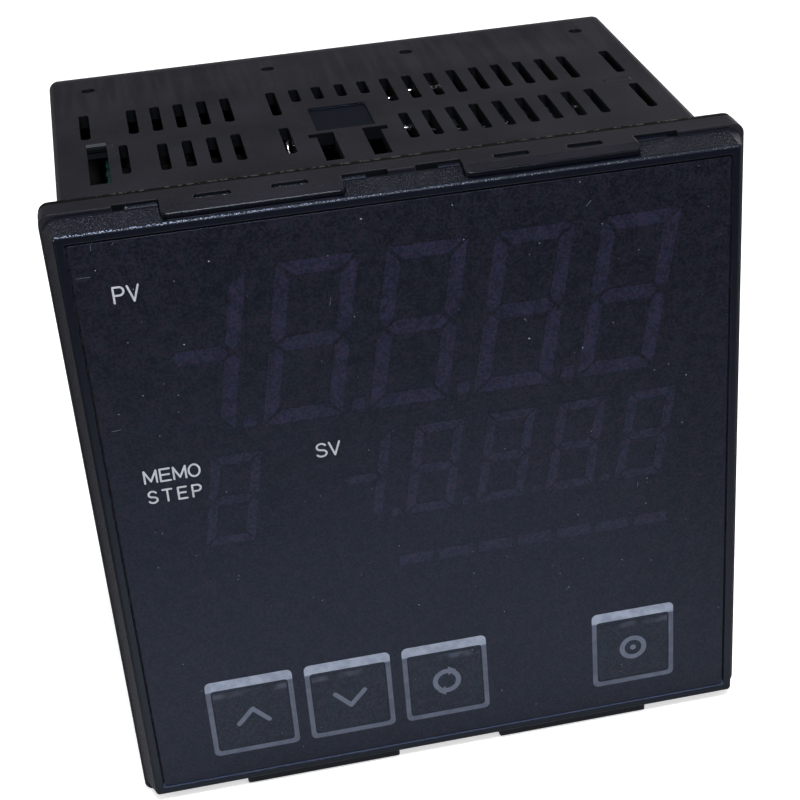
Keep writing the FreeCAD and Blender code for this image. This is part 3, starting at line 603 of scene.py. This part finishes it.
sign_ink = printed("sign_ink", srgb(90, 97, 114), 0.84)
key_signs = {
    "up": [[(-2.25, -1.15), (0.05, 1.3), (2.35, -1.15)]],
    "down": [[(-2.25, 1.15), (0.0, -1.3), (2.3, 1.15)]],
    "mode": [arc(0.1, 0.0, 1.82, 1.82, 75, 225, 16), arc(0.1, 0.0, 1.82, 1.82, -115, 50, 16)],
    "out_off": [arc(0.0, 0.0, 1.78, 1.78, 0, 360, 28)],
}
for name in key_names:
    x, z = key_middle[name]
    low = key_box[name][0]
    lines = [[(x + u, z + v) for u, v in line] for line in key_signs[name]]
    width = 0.74 if name in ("up", "down") else 0.8
    sign = drawn("key_sign_" + name, lines, width, sign_ink, low.y)
    if name == "mode":
        heads = [plate("arrow_head", [mm(*[(x + u, z + v) for u, v in head])], sign_ink,
                       low.y, PRINT_DEPTH + 0.00001)
                 for head in (((0.4, 2.65), (1.65, 1.8), (0.4, 1.0)),
                              ((-0.2, -2.65), (-1.45, -1.8), (-0.2, -1.0)))]
        sign = joined("key_sign_mode", [sign] + heads, sign_ink)
    if name == "out_off":
        dot = plate("dot", [mm(*arc(x, z, 0.48, 0.48, 0, 345, 23))], sign_ink, low.y)
        sign = joined("key_sign_out_off", [sign, dot], sign_ink)
    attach(sign, "key_" + name)


# ---------------------------------------------------------------- display
# A liquid-crystal cell in a white holder, with two rubber contact strips above and below
# the light guide. It lies behind the film's window.

glass_finish, tree, shader, where = new_finish("display_glass")
smear = grain(tree, where, 0.006, 4.0)
paint(tree, shader, mixed(tree, smear, srgb(28, 29, 38), srgb(44, 46, 56)),
      ramp(tree, smear, 0.2, 0.8, 0.05, 0.14), bumps(tree, smear, 0.00005, 0.1),
      Coat_Weight=0.5)
dress(glass_finish, "lcd_glass")


def moulded(name, dark, light, lump, rough, level=0.5, depth=0.00003, edge=0.00015):
    """Moulded plastic with an even fine texture and eased edges."""
    finish, tree, shader, where = new_finish(name)
    fine = grain(tree, where, lump, 3.0, 0.6)
    wide = grain(tree, where, lump * 40, 2.0)
    tone = plus(tree, times(tree, fine, 0.55), times(tree, wide, 0.45))
    paint(tree, shader, mixed(tree, ramp(tree, tone, 0.3, 0.7), dark, light),
          ramp(tree, tone, 0.25, 0.75, rough - 0.05, rough + 0.05),
          bumps(tree, fine, depth, 0.6, eased(tree, edge)), Specular_IOR_Level=level)
    return finish


dress(moulded("holder_white", srgb(212, 212, 206), srgb(226, 226, 221), 0.0003, 0.42),
      "lcd_holder", "reflector_sheet")

strip_finish, tree, shader, where = new_finish("contact_strip")
fine_lines = step(tree, "TexWave", {"bands_direction": "X"}, Vector=where, Scale=2200.0,
                  Distortion=0.4).outputs["Fac"]
paint(tree, shader, mixed(tree, fine_lines, srgb(30, 30, 32), srgb(176, 168, 152)),
      ramp(tree, fine_lines, 0.0, 1.0, 0.75, 0.6), bumps(tree, fine_lines, 0.00003, 0.4))
dress(strip_finish, "elastomer_strip_upper", "elastomer_strip_lower")

guide_finish, tree, shader, where = new_finish("light_guide_clear")
dots = step(tree, "TexVoronoi", {"feature": "F1"}, Vector=where, Scale=900.0,
            Randomness=0.15).outputs["Distance"]
paint(tree, shader,
      mixed(tree, ramp(tree, dots, 0.2, 0.35), srgb(236, 240, 240), srgb(205, 212, 214)),
      ramp(tree, dots, 0.2, 0.35, 0.5, 0.12), bumps(tree, dots, 0.00005, 0.3),
      Transmission_Weight=0.55)
dress(guide_finish, "light_guide")


# ---------------------------------------------------------------- circuit boards
# Glass-fibre boards with green solder resist over copper. The display board carries the
# four push switches; two more boards run back along the sides of the case.

def board_resist(name, along):
    """Green resist with copper tracks under it. along picks the plane of the board."""
    finish, tree, shader, where = new_finish(name)
    across, inward, upward = parts_of(tree, where)
    flat = step(tree, "CombineXYZ", X=across if along == "front" else inward, Y=upward)
    cells = step(tree, "TexVoronoi", {"distance": "CHEBYCHEV", "feature": "F2"},
                 Vector=flat.outputs[0], Scale=0.26, Randomness=0.8).outputs["Distance"]
    lines = step(tree, "TexWave", {"bands_direction": "DIAGONAL"}, Vector=flat.outputs[0],
                 Scale=0.19, Distortion=5.0, Detail=1.0).outputs["Fac"]
    copper = larger(tree, ramp(tree, lines, 0.62, 0.68), ramp(tree, cells, 0.62, 0.66))
    mottle = grain(tree, where, 0.004, 3.0)
    base = mixed(tree, mottle, srgb(8, 29, 27), srgb(12, 36, 33))
    over_copper = mixed(tree, mottle, srgb(17, 50, 44), srgb(23, 60, 52))
    paint(tree, shader, mixed(tree, copper, base, over_copper),
          ramp(tree, mottle, 0.2, 0.8, 0.24, 0.36),
          bumps(tree, copper, 0.00004, 0.6, eased(tree, 0.0001)), Specular_IOR_Level=0.35)
    return finish


side_resist = board_resist("side_board_resist", "side")
dress(board_resist("front_board_resist", "front"), "display_board")
dress(side_resist, "main_board", "power_board")

inside_black = moulded("inside_black", srgb(20, 20, 22), srgb(32, 32, 35), 0.00022, 0.42)
dress(inside_black, "display_header_left", "display_header_right", "line_filter",
      "processor", *["tact_switch_" + name for name in key_names])
dress(moulded("plunger_grey", srgb(150, 148, 140), srgb(168, 166, 158), 0.0002, 0.4),
      *["switch_plunger_" + name for name in key_names])
dress(moulded("frame_black", srgb(12, 13, 17), srgb(20, 22, 27), 0.0003, 0.5, 0.3),
      "inner_frame")


def metal(name, dark, light, rough, lump=0.0006):
    """Plated or plain metal with fine handling marks."""
    finish, tree, shader, where = new_finish(name)
    marks = grain(tree, where, lump, 4.0, 0.6)
    paint(tree, shader, mixed(tree, ramp(tree, marks, 0.3, 0.7), dark, light),
          ramp(tree, marks, 0.25, 0.75, rough - 0.07, rough + 0.07),
          bumps(tree, marks, 0.00002, 0.3, eased(tree, 0.0001)), Metallic=1.0)
    return finish


dress(metal("screw_zinc", srgb(168, 170, 174), srgb(204, 206, 210), 0.3),
      "display_board_screws", "side_board_screws")
dress(metal("pin_gold", srgb(196, 156, 84), srgb(228, 192, 116), 0.25),
      "header_pins_left", "header_pins_right")


# ---------------------------------------------------------------- parts on the boards
# The power supply's transformer, capacitors, filter and fuse, and the output relays, in
# their usual cases: sleeved cans, moulded boxes and a taped winding on a steel core.

# The steel core is painted near black with little shine: painted shade under the case's roof.
core_finish, tree, shader, where = new_finish("core_laminations")
sheets = step(tree, "TexWave", {"bands_direction": "Y"}, Vector=where, Scale=640.0,
              Distortion=0.3).outputs["Fac"]
rust = grain(tree, where, 0.002, 4.0)
paint(tree, shader, mixed(tree, rust, srgb(5, 6, 8), srgb(11, 12, 15)),
      ramp(tree, rust, 0.3, 0.7, 0.7, 0.85), bumps(tree, sheets, 0.00008, 0.7),
      Specular_IOR_Level=0.06)
dress(core_finish, "transformer_core")

tape_finish, tree, shader, where = new_finish("winding_tape")
wraps = step(tree, "TexWave", {"bands_direction": "Z", "wave_profile": "SAW"}, Vector=where,
             Scale=60.0, Distortion=0.3).outputs["Fac"]
crease = grain(tree, where, 0.0015, 3.0)
paint(tree, shader, mixed(tree, crease, srgb(196, 150, 52), srgb(222, 180, 84)),
      ramp(tree, crease, 0.2, 0.8, 0.22, 0.4),
      bumps(tree, plus(tree, wraps, times(tree, crease, 0.6)), 0.0001, 0.5))
dress(tape_finish, "transformer_winding")

# A can's flat end is bare, and its sleeve has a pale band along it.
for name, side in (("bulk_capacitor", -1), ("filter_capacitor", -1), ("supply_capacitor", 1)):
    low, high = (corner * 1000 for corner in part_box(name))
    sleeve_finish, tree, shader, where = new_finish(name + "_sleeve")
    across, _, upward = parts_of(tree, where)
    from_end = away(tree, sums(tree, "SUBTRACT", across, low.x if side < 0 else high.x))
    bare = ramp(tree, from_end, 0.9, 0.5)
    band = ramp(tree, upward, low.z * 0.25 + high.z * 0.75, low.z * 0.22 + high.z * 0.78)
    crease = grain(tree, where, 0.003, 3.0)
    sleeve = mixed(tree, band, srgb(24, 28, 52), srgb(176, 182, 194))
    paint(tree, shader, mixed(tree, bare, sleeve, srgb(196, 198, 202)),
          ramp(tree, crease, 0.2, 0.8, 0.24, 0.36), bumps(tree, crease, 0.00005, 0.4))
    wire(tree, shader.inputs["Metallic"], bare)
    dress(sleeve_finish, name)

dress(moulded("relay_white", srgb(196, 198, 200), srgb(214, 216, 218), 0.0004, 0.38),
      "output_relay", "alarm_relay")
dress(moulded("film_capacitor_yellow", srgb(190, 142, 34), srgb(206, 160, 52), 0.0005, 0.35),
      "film_capacitor")

fuse_glass_finish, tree, shader, where = new_finish("fuse_glass")
smear = grain(tree, where, 0.002, 3.0)
paint(tree, shader, mixed(tree, smear, srgb(232, 240, 238), srgb(246, 250, 248)),
      ramp(tree, smear, 0.2, 0.8, 0.02, 0.08), Transmission_Weight=0.9)
dress(fuse_glass_finish, "fuse_tube")
dress(metal("fuse_nickel", srgb(176, 176, 172), srgb(212, 212, 208), 0.25), "fuse_caps")

# Tinned wire clips arch over the lying capacitors and hold them to their boards.

tinned = metal("tinned_wire", srgb(176, 178, 182), srgb(214, 216, 220), 0.22)
CLIP_WIRE, CLIP_PLAY = 0.00035, 0.00001


def socket_on(tree, name, kind, value):
    made = tree.interface.new_socket(name, in_out="INPUT", socket_type="NodeSocket" + kind)
    made.default_value = value
    return made.identifier


def growing(tree, kind, settings=None, **inputs):
    """One step of a geometry tree."""
    return node(tree, "GeometryNode" + kind, settings, **inputs)


def finished(tree, copies, finish):
    """Ends a geometry tree: its copies become one mesh that wears the finish."""
    plain = growing(tree, "RealizeInstances", Geometry=copies)
    painted = growing(tree, "SetMaterial", Geometry=plain.outputs["Geometry"], Material=finish)
    node(tree, "NodeGroupOutput", Geometry=painted.outputs["Geometry"])


def new_growth(name, **sizes):
    """An empty geometry tree with named sizes. Gives the tree, its inputs and their keys."""
    tree = bpy.data.node_groups.new(name, "GeometryNodeTree")
    tree.interface.new_socket("Geometry", in_out="OUTPUT", socket_type="NodeSocketGeometry")
    keys = {}
    for size, value in sizes.items():
        kind = {int: "Int", float: "Float", tuple: "Vector"}[type(value)]
        keys[size] = socket_on(tree, size, kind, value)
    return tree, tree.nodes.new("NodeGroupInput").outputs, keys


def grown(name, tree, keys, finish, **sizes):
    """The mesh that the tree makes with these sizes, as a plain piece."""
    carrier = bpy.data.objects.new(name + "_grown", bpy.data.meshes.new(name + "_seed"))
    bpy.context.scene.collection.objects.link(carrier)
    modifier = carrier.modifiers.new("grow", "NODES")
    modifier.node_group = tree
    for size, value in sizes.items():
        modifier[keys[size]] = value
    shape = bpy.data.meshes.new_from_object(carrier.evaluated_get(
        bpy.context.evaluated_depsgraph_get()))
    carrier.modifiers.remove(modifier)
    bpy.data.objects.remove(carrier)
    return piece_of(name, tidied(shape), finish)


def clip_tree():
    tree, given, keys = new_growth("wire_clips", reach=0.008, wire=CLIP_WIRE, sweep=4.2,
                                   first=(0.0, 0.0, 0.0), pitch=0.01, count=2)
    loop = growing(tree, "CurveArc", Resolution=40, Radius=given["reach"],
                   Sweep_Angle=given["sweep"], Start_Angle=-0.53)
    round_wire = growing(tree, "CurvePrimitiveCircle", Resolution=8,
                         Radius=given["wire"])
    solid = growing(tree, "CurveToMesh", Curve=loop.outputs["Curve"],
                    Profile_Curve=round_wire.outputs["Curve"], Fill_Caps=True)
    upright = growing(tree, "Transform", Geometry=solid.outputs["Mesh"],
                      Rotation=(math.radians(90), 0.0, math.radians(90)))
    apart = step(tree, "CombineXYZ", X=given["pitch"])
    places = growing(tree, "MeshLine", Count=given["count"],
                     Start_Location=given["first"], Offset=apart.outputs["Vector"])
    copies = growing(tree, "InstanceOnPoints", Points=places.outputs["Mesh"],
                     Instance=upright.outputs["Geometry"])
    finished(tree, copies.outputs["Instances"], tinned)
    return tree, keys


clips, clip_keys = clip_tree()
for name in ("bulk_capacitor", "filter_capacitor"):
    low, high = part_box(name)
    length = high.x - low.x
    clip = grown("clip_" + name, clips, clip_keys, tinned,
                 reach=(high.z - low.z) / 2 + CLIP_WIRE + CLIP_PLAY, pitch=length * 0.55,
                 first=(low.x + length * 0.22, (low.y + high.y) / 2, (low.z + high.z) / 2))
    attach(clip, "instrument")

# Two tinned leads run from the winding over the capacitors, to the main board and to the
# terminal block.


def lead(name, points, thick, finish):
    """Round wire through these points, in millimetres."""
    run = bpy.data.curves.new(name, "CURVE")
    run.dimensions = "3D"
    run.bevel_depth = thick / 2000
    run.bevel_resolution = 2
    run.use_fill_caps = True
    path = run.splines.new("BEZIER")
    path.bezier_points.add(len(points) - 1)
    for knot, place in zip(path.bezier_points, points):
        knot.co = [v / 1000 for v in place]
        knot.handle_left_type = knot.handle_right_type = "AUTO"
    shape = mesh_of(bpy.data.objects.new(name + "_run", run))
    bpy.data.curves.remove(run)
    return piece_of(name, tidied(shape), finish)


leads = {
    "lead_to_board": [(-16.5, 30.6, 34.0), (-14.0, 29.8, 34.5), (-11.9, 23.0, 35.0),
                      (-11.9, 21.2, 38.9), (-11.9, 22.7, 40.9), (-11.9, 24.2, 42.8),
                      (-10.6, 25.6, 42.4), (-4.0, 26.0, 40.5), (3.4, 24.9, 42.2),
                      (5.6, 24.2, 42.8), (9.0, 25.2, 42.0), (16.0, 27.0, 40.6),
                      (26.0, 27.2, 40.8), (31.2, 24.6, 42.4), (34.3, 26.6, 41.6),
                      (36.9, 27.2, 40.9)],
    "lead_to_terminals": [(-16.5, 31.0, 31.0), (-9.0, 36.0, 37.0), (2.0, 40.0, 40.5),
                          (9.4, 40.9, 42.7), (13.2, 40.9, 42.7), (20.0, 43.5, 40.5),
                          (28.0, 43.0, 41.0), (31.2, 41.0, 42.7), (33.0, 45.8, 41.5),
                          (32.5, 48.2, 39.8)],
}
for name, points in leads.items():
    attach(lead(name, points, 0.8, tinned), "instrument")
ferrule = [(30.4, 24.4, 42.3), (31.5, 24.4, 42.3)]
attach(lead("lead_ferrule", ferrule, 1.6, tinned), "instrument")

# Solder joints stand in rows on the outer faces of the two side boards, and chip parts
# on the inner faces.


def lots(tree, kind, seed, ends):
    """Random values between ends. Both ends and outputs go by their sockets' places."""
    made = node(tree, "FunctionNodeRandomValue", {"data_type": kind})
    for index, value in ends.items():
        wire(tree, made.inputs[index], value)
    wire(tree, made.inputs["Seed"], seed)
    return made.outputs


def scatter_tree(name, finish, kind, flat, **shape):
    """Copies of one small body on a grid, some left out and each a little moved."""
    tree, given, keys = new_growth(name, columns=8, rows=20, width=0.03, height=0.08,
                                   kept=0.5, stray=0.0005, least=0.8, most=1.2, seed=3,
                                   middle=(0.0, 0.0, 0.0), turn=(0.0, 0.0, 0.0))
    grid = growing(tree, "MeshGrid", Size_X=given["width"], Size_Y=given["height"],
                   Vertices_X=given["columns"], Vertices_Y=given["rows"])
    left_out = lots(tree, "BOOLEAN", given["seed"], {6: rest_of(tree, given["kept"])})
    thinned = growing(tree, "DeleteGeometry", {"domain": "POINT"},
                      Geometry=grid.outputs["Mesh"], Selection=left_out[3])
    strays = lots(tree, "FLOAT_VECTOR", given["seed"], {0: (-1.0, -1.0, 0.0), 1: (1.0, 1.0, 0.0)})
    by = step(tree, "VectorMath", {"operation": "SCALE"}, Vector=strays[0], Scale=given["stray"])
    moved = growing(tree, "SetPosition", Geometry=thinned.outputs["Geometry"],
                    Offset=by.outputs["Vector"])
    body = growing(tree, kind, **shape)
    pressed_flat = growing(tree, "Transform", Geometry=body.outputs["Mesh"],
                           Scale=(1.0, 1.0, flat))
    grows = lots(tree, "FLOAT", given["seed"], {2: given["least"], 3: given["most"]})
    copies = growing(tree, "InstanceOnPoints", Points=moved.outputs["Geometry"],
                     Instance=pressed_flat.outputs["Geometry"], Scale=grows[1])
    placed = growing(tree, "Transform", Geometry=copies.outputs["Instances"],
                     Translation=given["middle"], Rotation=given["turn"])
    finished(tree, placed.outputs["Geometry"], finish)
    return tree, keys


solder = metal("solder", srgb(188, 190, 194), srgb(222, 224, 226), 0.18, 0.0004)
joints, joint_keys = scatter_tree("solder_joints", solder, "MeshUVSphere", 0.8,
                                  Segments=10, Rings=6, Radius=0.0009)
chips, chip_keys = scatter_tree("chip_parts", inside_black, "MeshCube", 1.0,
                                Size=(0.0021, 0.0013, 0.0012))
for board, side in (("main_board", 1), ("power_board", -1)):
    low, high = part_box(board)
    outer_face, inner_face = (high.x, low.x) if side > 0 else (low.x, high.x)
    middle = ((low.y + high.y) / 2, (low.z + high.z) / 2)
    wide, tall = high.y - low.y - 0.006, high.z - low.z - 0.005
    upright = (math.radians(90), 0.0, math.radians(90))
    joint = grown("solder_joints_" + board, joints, joint_keys, solder, columns=14, rows=31,
                  width=wide, height=tall, kept=0.3, stray=0.0002, seed=7 + side,
                  middle=(outer_face, *middle), turn=upright)
    chip = grown("chip_parts_" + board, chips, chip_keys, inside_black, columns=9, rows=18,
                 width=wide, height=tall, kept=0.22, stray=0.0008, seed=21 + side,
                 middle=(inner_face, *middle), turn=upright)
    for piece in (joint, chip):
        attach(piece, "instrument")

# Specks of dust lie on the film.

specks, speck_keys = scatter_tree("dust_specks", dust_pale, "MeshIcoSphere", 0.35,
                                  Radius=0.00006, Subdivisions=1)
low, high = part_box("front_overlay")
dust_specks = grown("dust_specks", specks, speck_keys, dust_pale, columns=18, rows=18,
                    width=high.x - low.x - 0.008, height=high.z - low.z - 0.008, kept=0.42,
                    stray=0.0035, least=0.5, most=1.5, seed=11, middle=(0.0, low.y, 0.0),
                    turn=(math.radians(90), 0.0, 0.0))
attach(dust_specks, "instrument")


# ---------------------------------------------------------------- case and gasket
# One deep moulding in flame-proof black plastic, with a fine even texture, rows of vents
# above and below, and tabs that reach over the bezel. A black rubber gasket lies behind
# its flange and gathers dust along the edge.

case_finish, tree, shader, where = new_finish("case_black")
across, inward, upward = parts_of(tree, where)
beside, height = away(tree, across), away(tree, upward)
fine = grain(tree, where, 0.00028, 3.0, 0.6)
wide = grain(tree, where, 0.012, 3.0)

# Faint flow lines near the rear edge of the moulding's roof and floor.
drawn_out = step(tree, "Mapping", Vector=where, Scale=(1.0, 0.06, 1.0)).outputs[0]
lines = plus(tree, times(tree, grain(tree, drawn_out, 0.0024, 1.0), 0.6),
             times(tree, grain(tree, drawn_out, 0.0011, 1.0), 0.4))
flow = times(tree, ramp(tree, lines, 0.40, 0.62), between(tree, inward, 38.0, 46.0, 56.5, 58.5),
             ramp(tree, height, 44.5, 45.1))
rear = times(tree, ramp(tree, inward, 57.5, 58.8), ramp(tree, height, 44.0, 45.1))

# The tabs' noses are polished. So are the bracket seats and the upper walls of the side
# windows. The tabs' front faces are painted dark navy: painted shade. What lies below the
# roof's plane and in the flange's notches is painted darker: painted shade, navy on the
# bracket seats.
nose = ramp(tree, inward, -6.62, -6.72)
tab_front_shade = ramp(tree, inward, -7.55, -7.7)
roof = times(tree, ramp(tree, beside, 44.9, 44.7), between(tree, inward, 4.0, 5.0, 58.5, 59.5))
notch = times(tree, ramp(tree, height, 47.96, 47.90), ramp(tree, beside, 47.2, 47.0),
              between(tree, inward, -4.67, -4.62, -3.95, -3.85))
sunk = larger(tree, times(tree, ramp(tree, height, 45.12, 45.0), roof), notch)
seat_side = away(tree, plus(tree, across, 3.54))
seat = times(tree, ramp(tree, seat_side, 4.5, 4.4),
             between(tree, inward, 21.0, 21.2, 31.5, 31.7))
lip = times(tree, between(tree, beside, 36.9, 37.1, 41.0, 41.2),
            between(tree, inward, 25.5, 25.8, 27.3, 27.5))
upper = times(tree, lip, ramp(tree, height, 44.6, 44.8))

tone = plus(tree, times(tree, fine, 0.5), times(tree, wide, 0.5))
black = mixed(tree, ramp(tree, tone, 0.3, 0.7), srgb(22, 21, 27), srgb(36, 34, 41))
black = mixed(tree, times(tree, flow, 0.25), black, srgb(54, 53, 58))
black = mixed(tree, times(tree, rear, 0.5), black, srgb(66, 66, 70))
black = mixed(tree, tab_front_shade, black, srgb(2, 4, 12))
# Painted shade: below the roof's plane and in the notches the colour is darker, navy on the
# bracket seats.
black = mixed(tree, sunk, black, mixed(tree, seat, srgb(2, 3, 6), srgb(1, 6, 20)))
polish = plus(tree, times(tree, nose, 0.3),
              times(tree, sunk, plus(tree, times(tree, seat, 0.2), times(tree, upper, 0.34))))
deep = times(tree, lip, rest_of(tree, upper), 0.35)
rough = plus(tree, sums(tree, "SUBTRACT", ramp(tree, tone, 0.25, 0.75, 0.5, 0.58), polish), deep)
texture = times(tree, fine, ramp(tree, larger(tree, nose, sunk), 0.0, 1.0, 1.0, 0.4))
turned = bumps(tree, times(tree, lip, ramp(tree, height, 44.0, 44.7)), 0.0012, 1.0,
               eased(tree, ramp(tree, roof, 0.0, 1.0, 0.0003, 0.00006)))
paint(tree, shader, black, rough,
      bumps(tree, plus(tree, texture, times(tree, flow, 0.3)), 0.00006, 0.6, turned),
      Specular_IOR_Level=0.35, Specular_Tint=(0.82, 0.89, 1.0, 1.0))
dress(case_finish, "outer_case")

gasket_finish, tree, shader, where = new_finish("gasket_rubber")
_, inward, upward = parts_of(tree, where)
dull = grain(tree, where, 0.0007, 4.0, 0.65)
gather = grain(tree, step(tree, "Mapping", Vector=where, Scale=(1.0, 0.5, 0.5)).outputs[0],
               0.0009, 3.0, 0.7)
dusty = times(tree, ramp(tree, gather, 0.5, 0.58), ramp(tree, away(tree, upward), 47.5, 47.9),
              ramp(tree, inward, -0.5, -0.35))
paint(tree, shader,
      mixed(tree, dusty, mixed(tree, dull, srgb(4, 4, 6), srgb(10, 10, 12)), srgb(60, 57, 54)),
      ramp(tree, dull, 0.2, 0.8, 0.75, 0.9), bumps(tree, dull, 0.00006, 0.5),
      Specular_IOR_Level=0.12)
dress(gasket_finish, "panel_gasket")


# ---------------------------------------------------------------- rear terminals
# Two columns of screw terminals: black barrier blocks, brass contacts, and plated steel
# screws with clamp plates. Each terminal has a printed number beside it.

dress(moulded("terminal_black", srgb(24, 24, 27), srgb(36, 36, 39), 0.00025, 0.48, 0.4),
      "terminal_block_left", "terminal_block_right")
dress(metal("terminal_brass", srgb(182, 146, 78), srgb(212, 178, 104), 0.3),
      "terminal_contacts")
dress(metal("terminal_steel", srgb(158, 160, 164), srgb(200, 202, 206), 0.32),
      "terminal_screws", "terminal_clamp_plates")

rear_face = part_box("outer_case")[1].y
block_low, block_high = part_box("terminal_contacts")
number_ink = printed("number_ink", srgb(186, 188, 190), 0.85)
rows = 10
CONTACT_SHARE, NUMBER_ASIDE, NUMBER_SIZE, NUMBER_DEPTH = 0.82, 0.0027, 0.0031, 0.00004
row_pitch = (block_high.z - block_low.z) / (rows - 1 + CONTACT_SHARE)
number_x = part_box("terminal_block_right")[0].x - NUMBER_ASIDE
numbers = []
for index in range(2 * rows):
    side = 1 if index < rows else -1
    text = bpy.data.curves.new(f"number_{index + 1}", "FONT")
    text.body = str(index + 1)
    text.size = NUMBER_SIZE
    text.extrude = NUMBER_DEPTH / 2
    text.align_x, text.align_y = "CENTER", "CENTER"
    number = pressed(f"number_{index + 1}", text, number_ink, 0.0, NUMBER_DEPTH)
    height = (rows - 1) / 2 * row_pitch - (index % rows) * row_pitch
    number.data.transform(Matrix.Translation((side * number_x, rear_face, height))
                          @ Matrix.Rotation(math.pi, 4, "Z"))
    numbers.append(number)
terminal_numbers = joined("terminal_numbers", numbers, number_ink)
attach(terminal_numbers, "instrument")


# ---------------------------------------------------------------- bench, lamps and camera
# The controller stands on its flange and on the case's rear lower edge, on a plain pale
# bench, under four soft lamps.

FLANGE_RISE = 0.0028
case_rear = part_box("outer_case")[1].y
gasket_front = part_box("panel_gasket")[0].y
bench_shape = bpy.data.meshes.new("bench")
work = bmesh.new()
bmesh.ops.create_grid(work, x_segments=1, y_segments=1, size=4.0)
work.to_mesh(bench_shape)
work.free()
bench_shape.transform(Matrix.Translation((0, gasket_front, cad_low.z - 0.00002))
                      @ Matrix.Rotation(math.atan2(FLANGE_RISE, case_rear), 4, "X"))
bench_finish, tree, shader, where = new_finish("bench_pale")
across, toward, _ = parts_of(tree, where)


def studio_rays(tree):
    """1 for what the camera sees straight or through glass, and 1 for what is mirrored."""
    seen = step(tree, "LightPath").outputs
    direct = larger(tree, seen["Is Camera Ray"], seen["Is Transmission Ray"])
    return direct, seen["Is Glossy Ray"]


direct, mirrored = studio_rays(tree)
paper = grain(tree, where, 0.002, 3.0)
# In mirrored rays the bench shows a painted pool of light in front of the controller, with
# painted shade at its foot and toward both sides, most to the left.
painted_reflected_pool = times(tree, ramp(tree, toward, -240.0, -30.0), ramp(tree, toward, -20.0, -4.0, 1.0, 0.3),
             ramp(tree, across, -130.0, -50.0, 0.12, 1.0),
             ramp(tree, across, 20.0, 100.0, 1.0, 0.45))
pale = mixed(tree, paper, srgb(222, 222, 222), srgb(228, 228, 228))
paint(tree, shader,
      mixed(tree, times(tree, mirrored, rest_of(tree, painted_reflected_pool)), pale, srgb(88, 88, 90)),
      ramp(tree, paper, 0.2, 0.8, 0.85, 0.95), Specular_IOR_Level=0.1,
      Emission_Color=(1.0, 1.0, 1.0, 1.0))
wire(tree, shader.inputs["Emission Strength"],
     larger(tree, times(tree, direct, 0.6), times(tree, mirrored, painted_reflected_pool, 0.15)))
bench = piece_of("bench", bench_shape, bench_finish)
bench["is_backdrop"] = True

world = bpy.data.worlds.new("studio")
bpy.context.scene.world = world
world.use_nodes = True
tree = world.node_tree
sky = tree.nodes["Background"]
direct, mirrored = studio_rays(tree)
sky.inputs["Color"].default_value = (1.0, 1.0, 1.0, 1.0)
soft = sums(tree, "SUBTRACT", 0.45, times(tree, mirrored, 0.37))
wire(tree, sky.inputs["Strength"], larger(tree, direct, soft))


def lamp(name, place, target, size, power, colour=(1.0, 1.0, 1.0)):
    light = bpy.data.lights.new(name, "AREA")
    light.size = size
    light.energy = power
    light.color = colour
    made = bpy.data.objects.new(name, light)
    made.location = place
    made.rotation_euler = (Vector(target) - Vector(place)).to_track_quat("-Z", "Y").to_euler()
    bpy.context.scene.collection.objects.link(made)


lamp("key_lamp", (0.0, -0.38, 0.62), (0, 0, 0), 0.12, 4.5, (0.97, 0.98, 1.0))
lamp("side_lamp", (0.75, -0.75, 0.55), (0, 0, 0), 0.7, 1.5, (0.95, 0.97, 1.0))
lamp("rear_left_lamp", (-1.0, 0.6, 0.4), (0, 0.05, 0), 0.5, 3.0)
lamp("rear_right_lamp", (0.9, 0.9, 0.35), (0, 0.05, 0), 0.5, 3.0)

view = bpy.data.cameras.new("view")
view.lens = 81.80
view.sensor_width = 36.0
view.shift_x = -0.0962
view.shift_y = 0.1014
view.clip_start = 0.01
view.clip_end = 20.0
camera = bpy.data.objects.new("view", view)
camera.location = (-0.0355, -0.23075, 0.13619)
camera.rotation_euler = [math.radians(v) for v in (58.958, 3.127, -12.656)]
bpy.context.scene.collection.objects.link(camera)
bpy.context.scene.camera = camera
bpy.context.scene.view_settings.view_transform = "Standard"

low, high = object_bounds()
